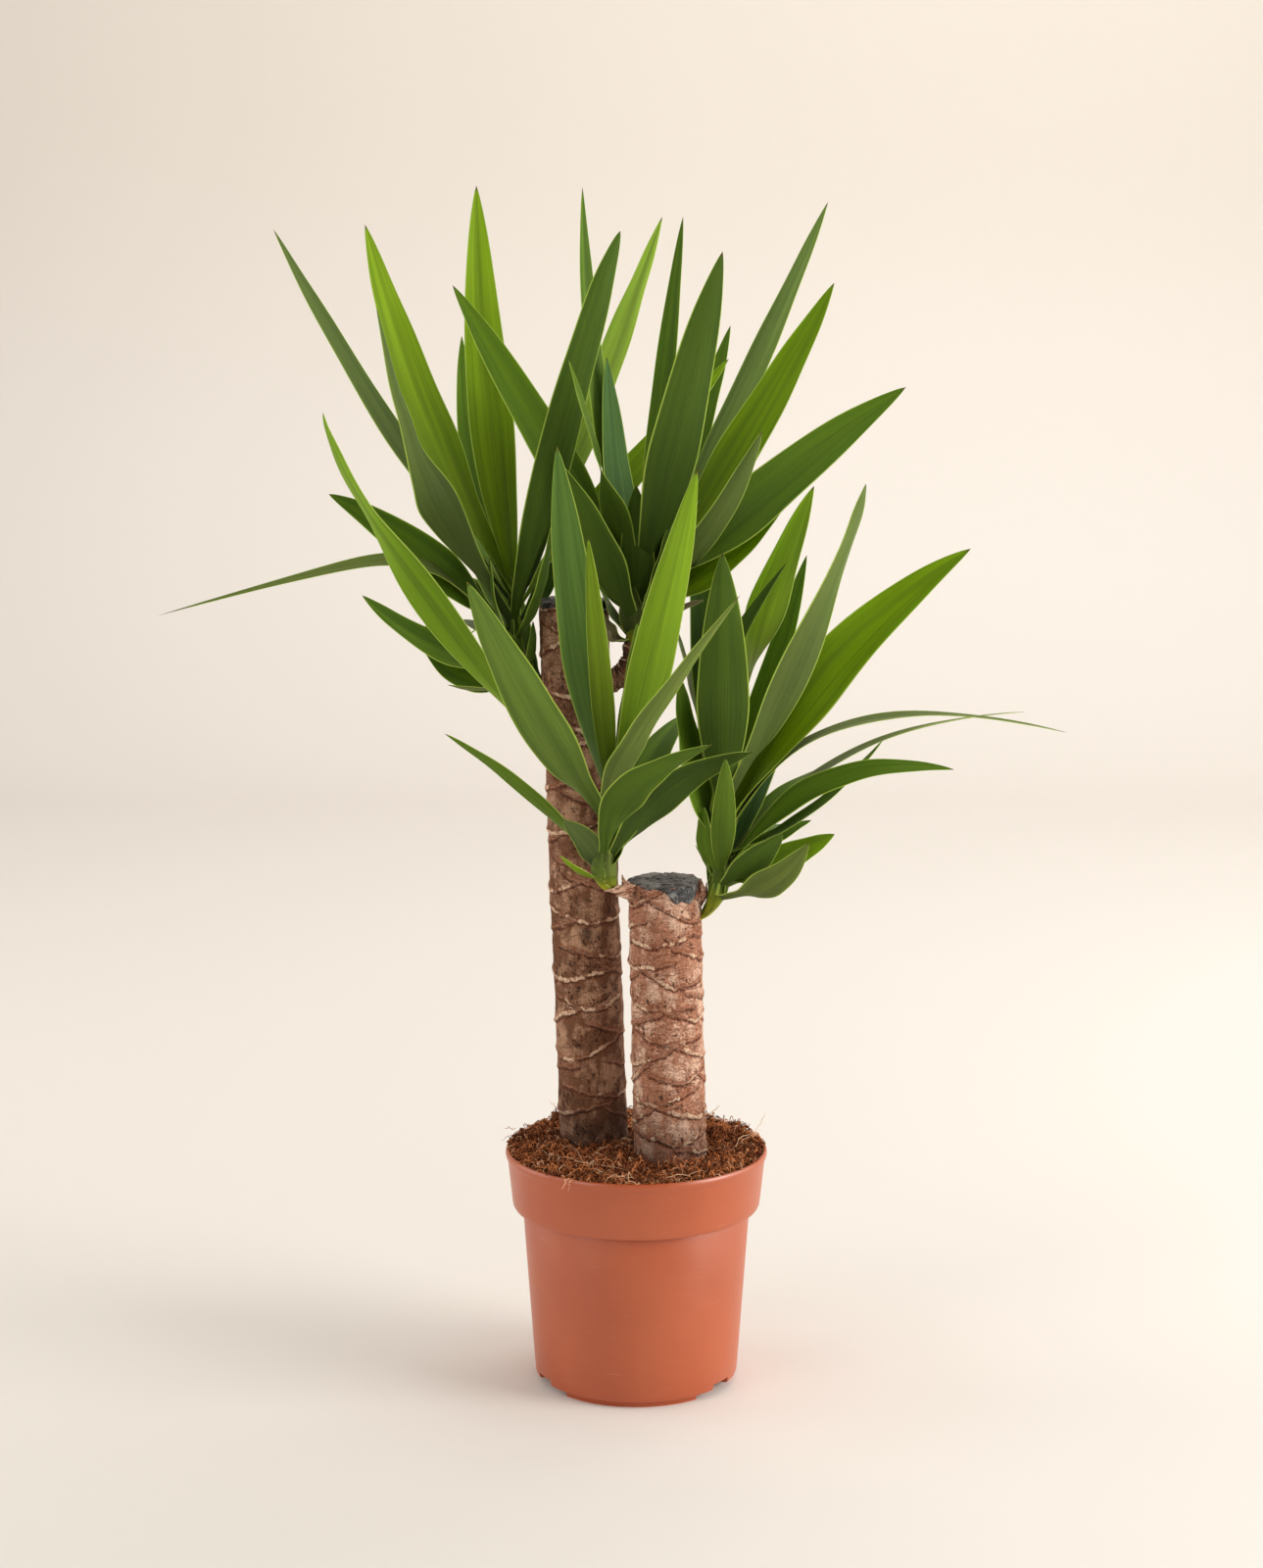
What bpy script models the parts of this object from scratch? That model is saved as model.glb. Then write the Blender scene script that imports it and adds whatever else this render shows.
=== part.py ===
"""Potted yucca: two sawn canes with four leafy heads, in a 21 cm nursery pot.

Metres, +Z up. The origin is the centre of the pot's underside, and the plant
is seen from -Y. Sizes in the tables are millimetres and degrees.
"""

import math
import random
from collections import namedtuple

import bmesh
import bpy
from mathutils import Vector

MM = 0.001
GAP = 0.3  # between touching pieces

POT_HEIGHT = 190.0
POT_WALL = 1.9
POT_SIDES = 42
COLLAR_FOOT = 144.0
FLOOR_UNDER = 10.0
FLOOR_TOP = 12.6
PAD_RADIUS = 12.0
FOOT_RADIUS = 77.0
FOOT_INNER = 74.5
FOOT_COUNT = 3
FOOT_HEIGHT = 4.4
FOOT_GAP = 47.6
NOTCH_WIDTH = 21.0
NOTCH_TOP = 9.6
FIRST_FOOT_GAP = -34.0
DRAIN_COUNT = 6
DRAIN_RADIUS = 5.0
DRAIN_RING = 58.0

SOIL_LEVEL = 188.3
SOIL_MOUND = 4.5
SOIL_LUMP = 1.5
SOIL_RISE = 0.014  # of the level towards +Y
SOIL_SIDES = 32

CANE_SIDES = 18
CANE_FOOT = 60.0
SCAR_PITCH = 27.0
SCAR_TILT = 5.5
SCAR_HEIGHT = 1.3
SCAR_HALF = 3.2
GOLDEN_ANGLE = 137.5

WAX_THICKNESS = 1.3
WAX_DOME = 2.4

STEM_SIDES = 8
PEG_LENGTH = 6.0
STEM_TOP_RADIUS = 3.5

BLADE_EDGE = 0.7
BLADE_MIDDLE = 1.5
BLADE_FOLD = 9.0
SHEATH_FOLD = 35.0
STEEP_ARCH = 25.0

# A cane: its axis at the soil and at its sawn top, its radius, the height of its
# first scar, and how far the back of the sawn face stands above its middle.
Cane = namedtuple("Cane", "soil top radius first_scar slant")
TALL_CANE = Cane((-34.0, 17.0, 188.0), (-49.5, 20.0, 628.0), 27.2, 206.0, 1.0)
SHORT_CANE = Cane((27.0, -24.5, 188.0), (22.0, -22.0, 409.0), 28.5, 214.0, 4.5)

# The woody shoot on the tall cane that carries its right head.
SHOOT_PATH = ((-27.0, 13.5, 565.0), (-1.0, 2.0, 566.0), (-1.0, 0.0, 598.0))
SHOOT_RADIUS = 9.0

# A leaf: the way it leans (0 is +X, 90 is away from the viewer), its lean from
# upright, its length and its width. arch lifts its middle, sway carries the
# middle to its left, roll turns its face, kink sharpens its bend, peak is where
# along the leaf the bend is, and seat is its place up the stem where it isn't
# the usual one.
Leaf = namedtuple(
    "Leaf", "turn lean length width arch roll sway kink peak seat", defaults=(0, 0, 0, 1, 0.5, None)
)
# A head: the path of its green stem, the stem's radius, its leaves, and the fan
# of further leaves behind them: first and last turn and lean, and how many.
Head = namedtuple("Head", "stem radius leaves fan")

TALL_LEFT = Head(
    stem=((-71, 17, 560), (-95, 13, 569), (-90, 15, 630)),
    radius=6.5,
    leaves=(
        Leaf(109, 20, 345, 38, arch=-3, sway=5),
        Leaf(155, 25, 320, 38, arch=-10, roll=-35, sway=2),
        Leaf(-179, 33, 340, 30, arch=-7, roll=-40),
        Leaf(-133, 33, 270, 34, arch=-20, roll=25, sway=-7, kink=1.6),
        Leaf(111, 34, 255, 24, arch=-6, sway=8),
        Leaf(-38, 19, 290, 36, roll=-25),
        Leaf(44, 27, 335, 32, arch=-3, roll=20, sway=-1),
        Leaf(16, 42, 250, 30, arch=-2, roll=45, seat=1),
        Leaf(-178, 51, 190, 36, arch=10, roll=-60),
        Leaf(-170, 79, 300, 24, arch=79, roll=-30, sway=-4, kink=4, peak=0.38),
        Leaf(-173, 64, 145, 28, arch=-10, roll=-45, seat=0.3),
        Leaf(177, 73, 90, 24, arch=-16, roll=-40, sway=1, seat=0.25),
        Leaf(-159, 91, 70, 14, arch=-5, roll=20, seat=0.2),
        Leaf(-32, 25, 85, 14, arch=-3, sway=1, seat=0.9),
    ),
    fan=(100, 134, 52, 84, 6),
)

TALL_RIGHT = Head(
    stem=((-1, 0, 594), (0, 0, 607), (4, -1, 632)),
    radius=6.0,
    leaves=(
        Leaf(-62, 25, 285, 42, arch=1, roll=-10, sway=-1),
        Leaf(61, 35, 260, 28, arch=-1, sway=-1),
        Leaf(22, 27, 335, 32, arch=-3, roll=30, sway=-1),
        Leaf(2, 31, 280, 38, arch=-4, roll=60),
        Leaf(-14, 49, 270, 44, roll=75),
        Leaf(-10, 51, 145, 32, arch=-3, roll=65),
        Leaf(-43, 41, 185, 26, arch=-10, roll=-20, sway=3),
        Leaf(-135, 37, 145, 36, arch=-7, roll=30, sway=-3),
        Leaf(127, 13, 190, 28, arch=-4, sway=3),
        Leaf(66, 15, 305, 20, arch=1, sway=1),
        Leaf(128, 13, 325, 20, arch=-9, sway=6),
        Leaf(-136, 22, 200, 30, arch=-1, roll=15),
        Leaf(158, 33, 290, 36, arch=1, roll=-45),
        Leaf(-30, 64, 65, 14, arch=2, roll=35),
    ),
    fan=(60, 98, 60, 84, 6),
)

SHORT_LEFT = Head(
    stem=((-2, -31, 396), (-23, -44, 399), (-18, -45, 466)),
    radius=6.0,
    leaves=(
        Leaf(-102, 18, 235, 28, arch=-3, sway=-6),
        Leaf(-125, 14, 300, 40, arch=-9, roll=15, sway=-6),
        Leaf(-46, 18, 285, 40, arch=-1, roll=-25),
        Leaf(-135, 36, 250, 40, arch=-10, roll=35, sway=-3),
        Leaf(-167, 34, 385, 34, arch=-16, roll=55, sway=-1, peak=0.68),
        Leaf(-165, 48, 165, 22, arch=7, roll=40, seat=0.6),
        Leaf(-40, 33, 225, 30, arch=23, roll=-10, sway=-7, kink=2.5, peak=0.42),
        Leaf(-52, 49, 160, 36, arch=26, roll=-30, sway=-8, kink=1.5, peak=0.45),
        Leaf(-24, 49, 160, 34, arch=18, roll=-45, sway=-1, seat=0.5),
        Leaf(-5, 41, 70, 16, arch=10, roll=30, seat=0.5),
        Leaf(-152, 49, 55, 16, arch=4, roll=40, seat=0.4),
        Leaf(-38, 8, 155, 24, arch=-3, roll=-10, sway=1),
    ),
    fan=(62, 74, 56, 64, 2),
)

SHORT_RIGHT = Head(
    stem=((47, -29, 383), (70, -33, 386), (66, -31, 468)),
    radius=6.5,
    leaves=(
        Leaf(-89, 37, 135, 20, sway=1, seat=0.6),
        Leaf(-92, 12, 210, 42, sway=1),
        Leaf(101, 21, 255, 34, arch=1, sway=-1),
        Leaf(7, 14, 200, 24, arch=16, roll=40, sway=2, kink=1.3),
        Leaf(46, 23, 270, 36, arch=8, roll=15, sway=4),
        Leaf(61, 36, 250, 26, arch=-2, sway=-1),
        Leaf(-15, 23, 275, 34, arch=-5, roll=-55),
        Leaf(17, 42, 305, 46, arch=24, roll=50, sway=5),
        Leaf(2, 64, 305, 26, arch=82, roll=5, sway=9, peak=0.42),
        Leaf(17, 62, 295, 24, arch=44, roll=-5, sway=8, peak=0.45),
        Leaf(-9, 60, 210, 26, arch=39, roll=40, sway=2),
        Leaf(7, 54, 155, 18, arch=-11, roll=10, sway=-1, seat=0.75),
        Leaf(23, 65, 85, 22, arch=3, roll=20, sway=1, seat=0.65),
        Leaf(-2, 63, 100, 30, arch=-1, roll=50, seat=0.5),
        Leaf(-35, 57, 100, 30, arch=-11, roll=-50, sway=1, kink=1.3, seat=0.4),
        Leaf(-39, 49, 80, 28, arch=-2, roll=-40, seat=0.5),
        Leaf(161, 29, 35, 12, roll=30, seat=0.55),
        Leaf(120, 26, 155, 24, arch=1, roll=40, sway=-1),
        Leaf(169, 12, 155, 32, arch=-4, roll=-30, seat=0.7),
    ),
    fan=(42, 84, 44, 76, 6),
)


def clear_scene():
    for obj in list(bpy.data.objects):
        bpy.data.objects.remove(obj, do_unlink=True)


def finish(name, red, green, blue, roughness):
    """A plain material, with its colour in linear light."""
    material = bpy.data.materials.new(name)
    material.use_nodes = True
    shader = material.node_tree.nodes["Principled BSDF"]
    shader.inputs["Base Color"].default_value = (red, green, blue, 1)
    shader.inputs["Roughness"].default_value = roughness
    shader.inputs["Metallic"].default_value = 0.0
    return material


def smooth_step(x):
    x = min(max(x, 0.0), 1.0)
    return x * x * (3 - 2 * x)


def mix(a, b, share):
    return a + (b - a) * share


def add_object(name, points, faces, material=None):
    """An object from points in millimetres, with its normals facing out."""
    mesh = bpy.data.meshes.new(name)
    bm = bmesh.new()
    verts = [bm.verts.new(Vector(point) * MM) for point in points]
    for face in faces:
        bm.faces.new([verts[i] for i in face])
    bmesh.ops.recalc_face_normals(bm, faces=bm.faces)
    bm.to_mesh(mesh)
    bm.free()
    mesh.shade_smooth()
    mesh.set_sharp_from_angle(angle=math.radians(40))
    if material:
        mesh.materials.append(material)
    obj = bpy.data.objects.new(name, mesh)
    bpy.context.scene.collection.objects.link(obj)
    return obj


def lofted(rings):
    """Points and faces of a closed skin through rings with equal counts."""
    count = len(rings[0])
    points = [point for ring in rings for point in ring]
    faces = [list(range(count)), [len(points) - count + i for i in range(count)]]
    for row in range(len(rings) - 1):
        for i in range(count):
            a = row * count + i
            b = row * count + (i + 1) % count
            faces.append((a, b, b + count, a + count))
    return points, faces


def turned(name, outline, sides, material):
    """A solid of revolution from an outline that starts and ends on the axis."""
    mesh = bpy.data.meshes.new(name)
    bm = bmesh.new()
    verts = [bm.verts.new((radius * MM, 0, height * MM)) for radius, height in outline]
    edges = [bm.edges.new(pair) for pair in zip(verts, verts[1:])]
    bmesh.ops.spin(
        bm, geom=verts + edges, cent=(0, 0, 0), axis=(0, 0, 1),
        angle=2 * math.pi, steps=sides, use_merge=True,
    )
    bmesh.ops.remove_doubles(bm, verts=bm.verts, dist=1e-6)
    bmesh.ops.recalc_face_normals(bm, faces=bm.faces)
    bm.to_mesh(mesh)
    bm.free()
    mesh.shade_smooth()
    mesh.set_sharp_from_angle(angle=math.radians(40))
    mesh.materials.append(material)
    obj = bpy.data.objects.new(name, mesh)
    bpy.context.scene.collection.objects.link(obj)
    return obj


def boolean(target, tools, operation, solver="EXACT"):
    """Joins the tools to the target or cuts them from it, and removes them."""
    group = bpy.data.collections.new(target.name + "_tools")
    bpy.context.scene.collection.children.link(group)
    for tool in tools:
        for home in tool.users_collection:
            home.objects.unlink(tool)
        group.objects.link(tool)
    modifier = target.modifiers.new(operation.lower(), "BOOLEAN")
    modifier.operation = operation
    modifier.operand_type = "COLLECTION"
    modifier.collection = group
    modifier.solver = solver
    graph = bpy.context.evaluated_depsgraph_get()
    result = bpy.data.meshes.new_from_object(target.evaluated_get(graph))
    target.modifiers.clear()
    target.data = result
    for tool in tools:
        bpy.data.objects.remove(tool, do_unlink=True)
    bpy.data.collections.remove(group)


def keep_outer_skin(obj):
    """Drops the small pockets that joined leaf bases close off, and any scrap."""
    bm = bmesh.new()
    bm.from_mesh(obj.data)
    unseen = set(bm.faces)
    skins = []
    while unseen:
        front = [unseen.pop()]
        skin = list(front)
        while front:
            for edge in front.pop().edges:
                for face in edge.link_faces:
                    if face in unseen:
                        unseen.remove(face)
                        front.append(face)
                        skin.append(face)
        skins.append(skin)
    skins.sort(key=len)
    spare = [face for skin in skins[:-1] for face in skin]
    bmesh.ops.delete(bm, geom=spare, context="FACES")
    bm.to_mesh(obj.data)
    bm.free()


def curve_point(path, share):
    """A point on the quadratic curve through a path of three handles."""
    first, middle, last = (Vector(point) for point in path)
    rest = 1 - share
    return rest * rest * first + 2 * share * rest * middle + share * share * last


def curve_direction(path, share):
    first, middle, last = (Vector(point) for point in path)
    return ((1 - share) * (middle - first) + share * (last - middle)).normalized()


def ring_across(centre, direction, radius, sides):
    """A circle of points round a centre, square to a direction."""
    across = direction.cross(Vector((0, 1, 0))).normalized()
    beside = direction.cross(across)
    ring = []
    for i in range(sides):
        angle = 2 * math.pi * i / sides
        ring.append(centre + radius * (math.cos(angle) * across + math.sin(angle) * beside))
    return ring


def rod(name, start, end, radius, sides, flare=0.0):
    direction = (end - start).normalized()
    rings = [ring_across(start, direction, radius, sides), ring_across(end, direction, radius + flare, sides)]
    return add_object(name, *lofted(rings))


def outer_wall():
    """The pot's outside from the foot up to the rim, as radius and height."""
    return [
        (FOOT_RADIUS, 0), (77.6, FOOT_HEIGHT), (80.4, FOOT_HEIGHT + 0.5), (81.7, FOOT_HEIGHT + 1.9),
        (83.2, 26), (91.4, COLLAR_FOOT - 2.6), (96.6, COLLAR_FOOT - 1.2), (98.9, COLLAR_FOOT + 0.6),
        (99.8, COLLAR_FOOT + 4), (103.3, POT_HEIGHT - 7.4), (104.7, POT_HEIGHT - 5.6),
        (105.0, POT_HEIGHT - 2.4), (104.2, POT_HEIGHT - 0.5), (103.2, POT_HEIGHT),
    ]


def inner_wall():
    """The pot's inside from the rim down to its floor, as radius and height."""
    return [
        (102.2, POT_HEIGHT), (101.5, POT_HEIGHT - 3.0), (99.8 - POT_WALL, COLLAR_FOOT + 5),
        (93.6, COLLAR_FOOT + 1), (91.4 - POT_WALL, COLLAR_FOOT - 2.6),
        (82.4 - POT_WALL, FLOOR_TOP + 3), (77.6, FLOOR_TOP),
    ]


def foot_cutter(angle, depth, width, top):
    """A box across the foot ring at an angle, from below the floor up to a height."""
    bpy.ops.mesh.primitive_cube_add(size=1)
    cutter = bpy.context.object
    cutter.scale = (depth * MM, width * MM, 2 * top * MM)
    cutter.location = (FOOT_RADIUS * MM * math.cos(angle), FOOT_RADIUS * MM * math.sin(angle), 0)
    cutter.rotation_euler.z = angle
    return cutter


def add_pot():
    """One moulding: flared body, deep collar, raised floor, three feet, a pad under the gate."""
    clay = finish("terracotta_plastic", 0.48, 0.135, 0.055, 0.42)
    underside = [(0, 0), (PAD_RADIUS, 0), (PAD_RADIUS + 1.5, FLOOR_UNDER), (76.2, FLOOR_UNDER)]
    outline = underside + [(75.2, FOOT_HEIGHT), (FOOT_INNER, 0)] + outer_wall() + inner_wall() + [(0, FLOOR_TOP)]
    pot = turned("pot", outline, POT_SIDES, clay)
    cutters = []
    for i in range(FOOT_COUNT):
        angle = math.radians(FIRST_FOOT_GAP + 360 / FOOT_COUNT * i)
        cutters.append(foot_cutter(angle, 18, FOOT_GAP, FOOT_HEIGHT - 0.2))
        cutters.append(foot_cutter(angle, 26, NOTCH_WIDTH, NOTCH_TOP))
    for i in range(DRAIN_COUNT):
        angle = 2 * math.pi * (i + 0.5) / DRAIN_COUNT
        centre = Vector((DRAIN_RING * math.cos(angle), DRAIN_RING * math.sin(angle), 0))
        low = centre + Vector((0, 0, FLOOR_UNDER - 3))
        high = centre + Vector((0, 0, FLOOR_TOP + 3))
        cutters.append(rod("drain", low, high, DRAIN_RADIUS, 8))
    bpy.context.view_layer.update()
    boolean(pot, cutters, "DIFFERENCE")


def cane_axis(cane, height):
    """The cane's centre at a height, along its straight, slightly leaning axis."""
    share = (height - cane.soil[2]) / (cane.top[2] - cane.soil[2])
    return Vector((mix(cane.soil[0], cane.top[0], share), mix(cane.soil[1], cane.top[1], share), height))


def cane_ring(cane, height, tilt=0.0, tilt_angle=0.0, swell=0.0):
    """A ring on the cane's bark that dips to one side and stands out by swell there."""
    ring = []
    for i in range(CANE_SIDES):
        angle = 2 * math.pi * i / CANE_SIDES
        side = math.cos(angle - tilt_angle)
        centre = cane_axis(cane, height + tilt * side)
        radius = cane.radius + swell * (0.65 + 0.35 * side)
        ring.append(centre + radius * Vector((math.cos(angle), math.sin(angle), 0)))
    return ring


def scar_rings(cane, below_top):
    """Three rings for each leaf scar: foot, crest and head of a low ridge round the cane."""
    rings = []
    height = cane.first_scar
    number = 0
    while height < cane.top[2] - below_top:
        angle = math.radians(GOLDEN_ANGLE * number)
        for offset, swell in ((-SCAR_HALF, 0), (0, SCAR_HEIGHT), (SCAR_HALF, 0)):
            rings.append(cane_ring(cane, height + offset, SCAR_TILT, angle, swell))
        height += SCAR_PITCH
        number += 1
    return rings


def add_cane(name, cane, plain_top, bark):
    rings = [cane_ring(cane, CANE_FOOT), cane_ring(cane, SOIL_LEVEL + SOIL_MOUND + 2)]
    rings += scar_rings(cane, plain_top + SCAR_TILT + SCAR_HALF)
    rings.append(cane_ring(cane, cane.top[2], cane.slant, math.radians(90)))
    return add_object(name, *lofted(rings), bark)


def head_pocket(head):
    """The hole in the bark that a head's stem grows out of."""
    start = Vector(head.stem[0])
    direction = curve_direction(head.stem, 0)
    deep = start - (PEG_LENGTH + GAP) * direction
    mouth = start + 14 * direction
    return rod("pocket", deep, mouth, head.radius + GAP, STEM_SIDES, flare=4.0)


def add_shoot():
    """The woody side shoot on the tall cane, a short bent tube of bark."""
    rings = []
    for share in (0, 0.25, 0.5, 0.75, 1):
        centre = curve_point(SHOOT_PATH, share)
        rings.append(ring_across(centre, curve_direction(SHOOT_PATH, share), SHOOT_RADIUS, STEM_SIDES))
    return add_object("shoot", *lofted(rings))


def add_canes():
    grey_bark = finish("grey_brown_bark", 0.22, 0.13, 0.085, 0.85)
    red_bark = finish("red_brown_bark", 0.25, 0.12, 0.075, 0.85)
    tall = add_cane("tall_cane", TALL_CANE, 18, grey_bark)
    boolean(tall, [add_shoot()], "UNION")
    boolean(tall, [head_pocket(TALL_LEFT), head_pocket(TALL_RIGHT)], "DIFFERENCE")
    short = add_cane("short_cane", SHORT_CANE, 20, red_bark)
    boolean(short, [head_pocket(SHORT_LEFT), head_pocket(SHORT_RIGHT)], "DIFFERENCE")


def tall_drip(angle):
    """How far the wax comes down the tall cane's side at an angle."""
    return 11 + 2.5 * math.cos(3 * angle + 1)


def short_drip(angle):
    """The short cane's wax: a thin rim with one run down the front right."""
    off = (math.degrees(angle) + 52 + 180) % 360 - 180
    return 2.2 + 14 * math.exp(-((off / 28) ** 2))


def add_wax(name, cane, drip, wax):
    """The wax that seals a sawn cane: a low dome with a skirt over the bark's edge."""
    top = cane.top[2] + GAP
    inner = cane.radius + GAP
    outer = inner + WAX_THICKNESS
    angles = [2 * math.pi * i / CANE_SIDES for i in range(CANE_SIDES)]

    def ring(radius, height_at):
        points = []
        for angle in angles:
            slope = cane.slant * math.sin(angle) * radius / cane.radius
            centre = cane_axis(cane, height_at(angle) + slope)
            points.append(centre + radius * Vector((math.cos(angle), math.sin(angle), 0)))
        return points

    rings = [
        ring(inner * 0.25, lambda angle: top),
        ring(inner, lambda angle: top),
        ring(inner, lambda angle: cane.top[2] - drip(angle)),
        ring(outer, lambda angle: cane.top[2] - drip(angle) + 0.4),
        ring(outer, lambda angle: top + 0.4),
        ring(outer - 1.5, lambda angle: top + 0.65 * WAX_DOME),
        ring(outer * 0.55, lambda angle: top + WAX_DOME),
    ]
    return add_object(name, *lofted(rings), wax)


def add_waxes():
    wax = finish("black_wax", 0.012, 0.014, 0.018, 0.45)
    add_wax("tall_cane_wax", TALL_CANE, tall_drip, wax)
    add_wax("short_cane_wax", SHORT_CANE, short_drip, wax)


def soil_height(x, y):
    """The lumpy top of the coir: highest between the canes, low at the rim."""
    radius = math.hypot(x, y)
    mound = SOIL_MOUND * (1 - smooth_step(radius / 95))
    lumps = math.sin(x / 9.5 + 1.3) * math.cos(y / 8.0 - 0.4) + 0.5 * math.sin((x - y) / 5.0)
    return SOIL_LEVEL + SOIL_RISE * y + mound + SOIL_LUMP * lumps


def add_soil():
    """Coir that fills the pot to its rim, with a plain hole for each cane."""
    peat = finish("coir", 0.12, 0.05, 0.022, 0.95)
    below = [(radius - GAP, height) for radius, height in reversed(inner_wall()[1:])]
    below[0] = (below[0][0], FLOOR_TOP + GAP)
    below[-1] = (below[-1][0] - 0.4, POT_HEIGHT - 4)
    rings = []
    for radius, height in below:
        rings.append([(radius, height, False)] * SOIL_SIDES)
    for radius in (97.0, 84.0, 68.0, 50.0, 30.0, 10.0):
        rings.append([(radius, 0, True)] * SOIL_SIDES)
    solid_rings = []
    for ring in rings:
        points = []
        for i, (radius, height, on_top) in enumerate(ring):
            angle = 2 * math.pi * i / SOIL_SIDES
            x = radius * math.cos(angle)
            y = radius * math.sin(angle)
            points.append((x, y, soil_height(x, y) if on_top else height))
        solid_rings.append(points)
    soil = add_object("soil", *lofted(solid_rings), peat)
    holes = []
    for cane in (TALL_CANE, SHORT_CANE):
        wide = cane._replace(radius=cane.radius + GAP)
        rings = [cane_ring(wide, CANE_FOOT - GAP), cane_ring(wide, POT_HEIGHT + 30)]
        holes.append(add_object("hole", *lofted(rings)))
    boolean(soil, holes, "DIFFERENCE")


def fan_leaves(head, rng):
    """Leaves that fill a head's far side, set round it by the golden section."""
    first_turn, last_turn, first_lean, last_lean, count = head.fan
    leaves = []
    for i in range(count):
        turn = mix(first_turn, last_turn, (0.35 + i * 0.618) % 1)
        lean = mix(first_lean, last_lean, (i + 0.5) / count) + rng.uniform(-3, 3)
        length = mix(280, 150, smooth_step(lean / 90)) * rng.uniform(0.92, 1.05)
        width = rng.uniform(30, 40) * mix(1, 0.75, lean / 90)
        arch = mix(4, 26, lean / 90)
        leaves.append(Leaf(turn, lean, length, width, arch, roll=rng.uniform(-25, 25)))
    return leaves


def leaf_root(head, leaf):
    """Where a leaf leaves the stem: the flatter it lies, the lower it sits."""
    share = leaf.seat or 1 - 0.9 * smooth_step((leaf.lean - 25) / 60)
    turn = math.radians(leaf.turn)
    return curve_point(head.stem, share) + 2 * Vector((math.cos(turn), math.sin(turn), 0))


def leaf_sections(head, leaf, shares):
    """For each share of the leaf's length: its middle, its side, its upper face, its half width."""
    turn = math.radians(leaf.turn)
    lean = math.radians(leaf.lean)
    out = Vector((math.cos(turn), math.sin(turn), 0))
    side = Vector((-math.sin(turn), math.cos(turn), 0))
    up = Vector((0, 0, 1))
    chord = math.sin(lean) * out + math.cos(lean) * up
    rise = math.sin(lean) * up - math.cos(lean) * out
    root = leaf_root(head, leaf)
    tip = root + leaf.length * chord
    middle = root + leaf.peak * leaf.length * chord + leaf.arch * rise + leaf.sway * side
    pull = leaf.kink
    handle = ((2 + 2 * pull) * middle - root - tip) / (2 * pull)

    def place(share):
        rest = 1 - share
        weights = (rest * rest, 2 * pull * share * rest, share * share)
        total = weights[0] * root + weights[1] * handle + weights[2] * tip
        return total / sum(weights)

    sections = []
    for share in shares:
        near = max(share - 0.002, 0)
        far = min(share + 0.002, 1)
        along = (place(far) - place(near)).normalized()
        across = (side - side.dot(along) * along).normalized()
        face = along.cross(across)
        roll = math.radians(leaf.roll) * smooth_step(share * 2)
        turned_across = math.cos(roll) * across + math.sin(roll) * face
        turned_face = math.cos(roll) * face - math.sin(roll) * across
        outline = (0.3 + 0.7 * smooth_step(share / 0.35)) * (1 - share**3) ** 0.9
        sections.append((place(share), turned_across, turned_face, 0.5 * leaf.width * outline))
    return sections


def blade_points(section, share):
    """Six points of a shallow V: edge, middle and edge, below and above."""
    middle, across, face, half = section
    fold = math.radians(mix(SHEATH_FOLD, BLADE_FOLD, smooth_step(share / 0.3)))
    points = []
    for sign, thick in ((-1, BLADE_EDGE), (0, BLADE_MIDDLE), (1, BLADE_EDGE)):
        outward = sign * half * math.cos(fold) * across + abs(sign) * half * math.sin(fold) * face
        through = math.cos(fold) * face - sign * math.sin(fold) * across if sign else face
        points.append((middle + outward - 0.5 * thick * through, middle + outward + 0.5 * thick * through))
    return points


def add_blade(head, leaf):
    """One leaf: a thin V-shaped blade, split alike above and below, down to a point."""
    curved = abs(leaf.arch) > STEEP_ARCH
    shares = (0, 0.14, 0.3, 0.45, 0.6, 0.75, 0.88, 1) if curved else (0, 0.2, 0.42, 0.64, 0.84, 1)
    sections = leaf_sections(head, leaf, shares)
    points = []
    for section, share in zip(sections[:-1], shares):
        for below, above in blade_points(section, share):
            points += [below, above]
    points.append(sections[-1][0])
    tip = len(points) - 1
    faces = [(0, 1, 3), (0, 3, 2), (2, 3, 5), (2, 5, 4)]
    rows = len(shares) - 1
    for row in range(rows - 1):
        a = 6 * row
        b = a + 6
        for i in (0, 2):
            for level in (0, 1):
                p, q = a + i + level, a + i + 2 + level
                r, s = b + i + level, b + i + 2 + level
                faces += [(p, q, s), (p, s, r)]
        for edge in (0, 4):
            faces += [(a + edge, a + edge + 1, b + edge + 1), (a + edge, b + edge + 1, b + edge)]
    last = 6 * (rows - 1)
    for i in (0, 2):
        for level in (0, 1):
            faces.append((last + i + level, last + i + 2 + level, tip))
    for edge in (0, 4):
        faces.append((last + edge, last + edge + 1, tip))
    return add_object("blade", points, faces)


def add_stem(name, head, material):
    """A head's green stem, from its peg in the bark to the growing point."""
    start = Vector(head.stem[0])
    direction = curve_direction(head.stem, 0)
    rings = [ring_across(start - PEG_LENGTH * direction, direction, head.radius, STEM_SIDES)]
    for share in (0, 0.12, 0.35, 0.6, 0.85, 1):
        radius = mix(head.radius, STEM_TOP_RADIUS, smooth_step((share - 0.2) / 0.8))
        centre = curve_point(head.stem, share)
        rings.append(ring_across(centre, curve_direction(head.stem, share), radius, STEM_SIDES))
    return add_object(name, *lofted(rings), material)


def add_head(name, head, seed, material):
    rng = random.Random(seed)
    stem = add_stem(name, head, material)
    blades = [add_blade(head, leaf) for leaf in list(head.leaves) + fan_leaves(head, rng)]
    boolean(stem, blades, "UNION", "MANIFOLD")
    keep_outer_skin(stem)


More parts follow.
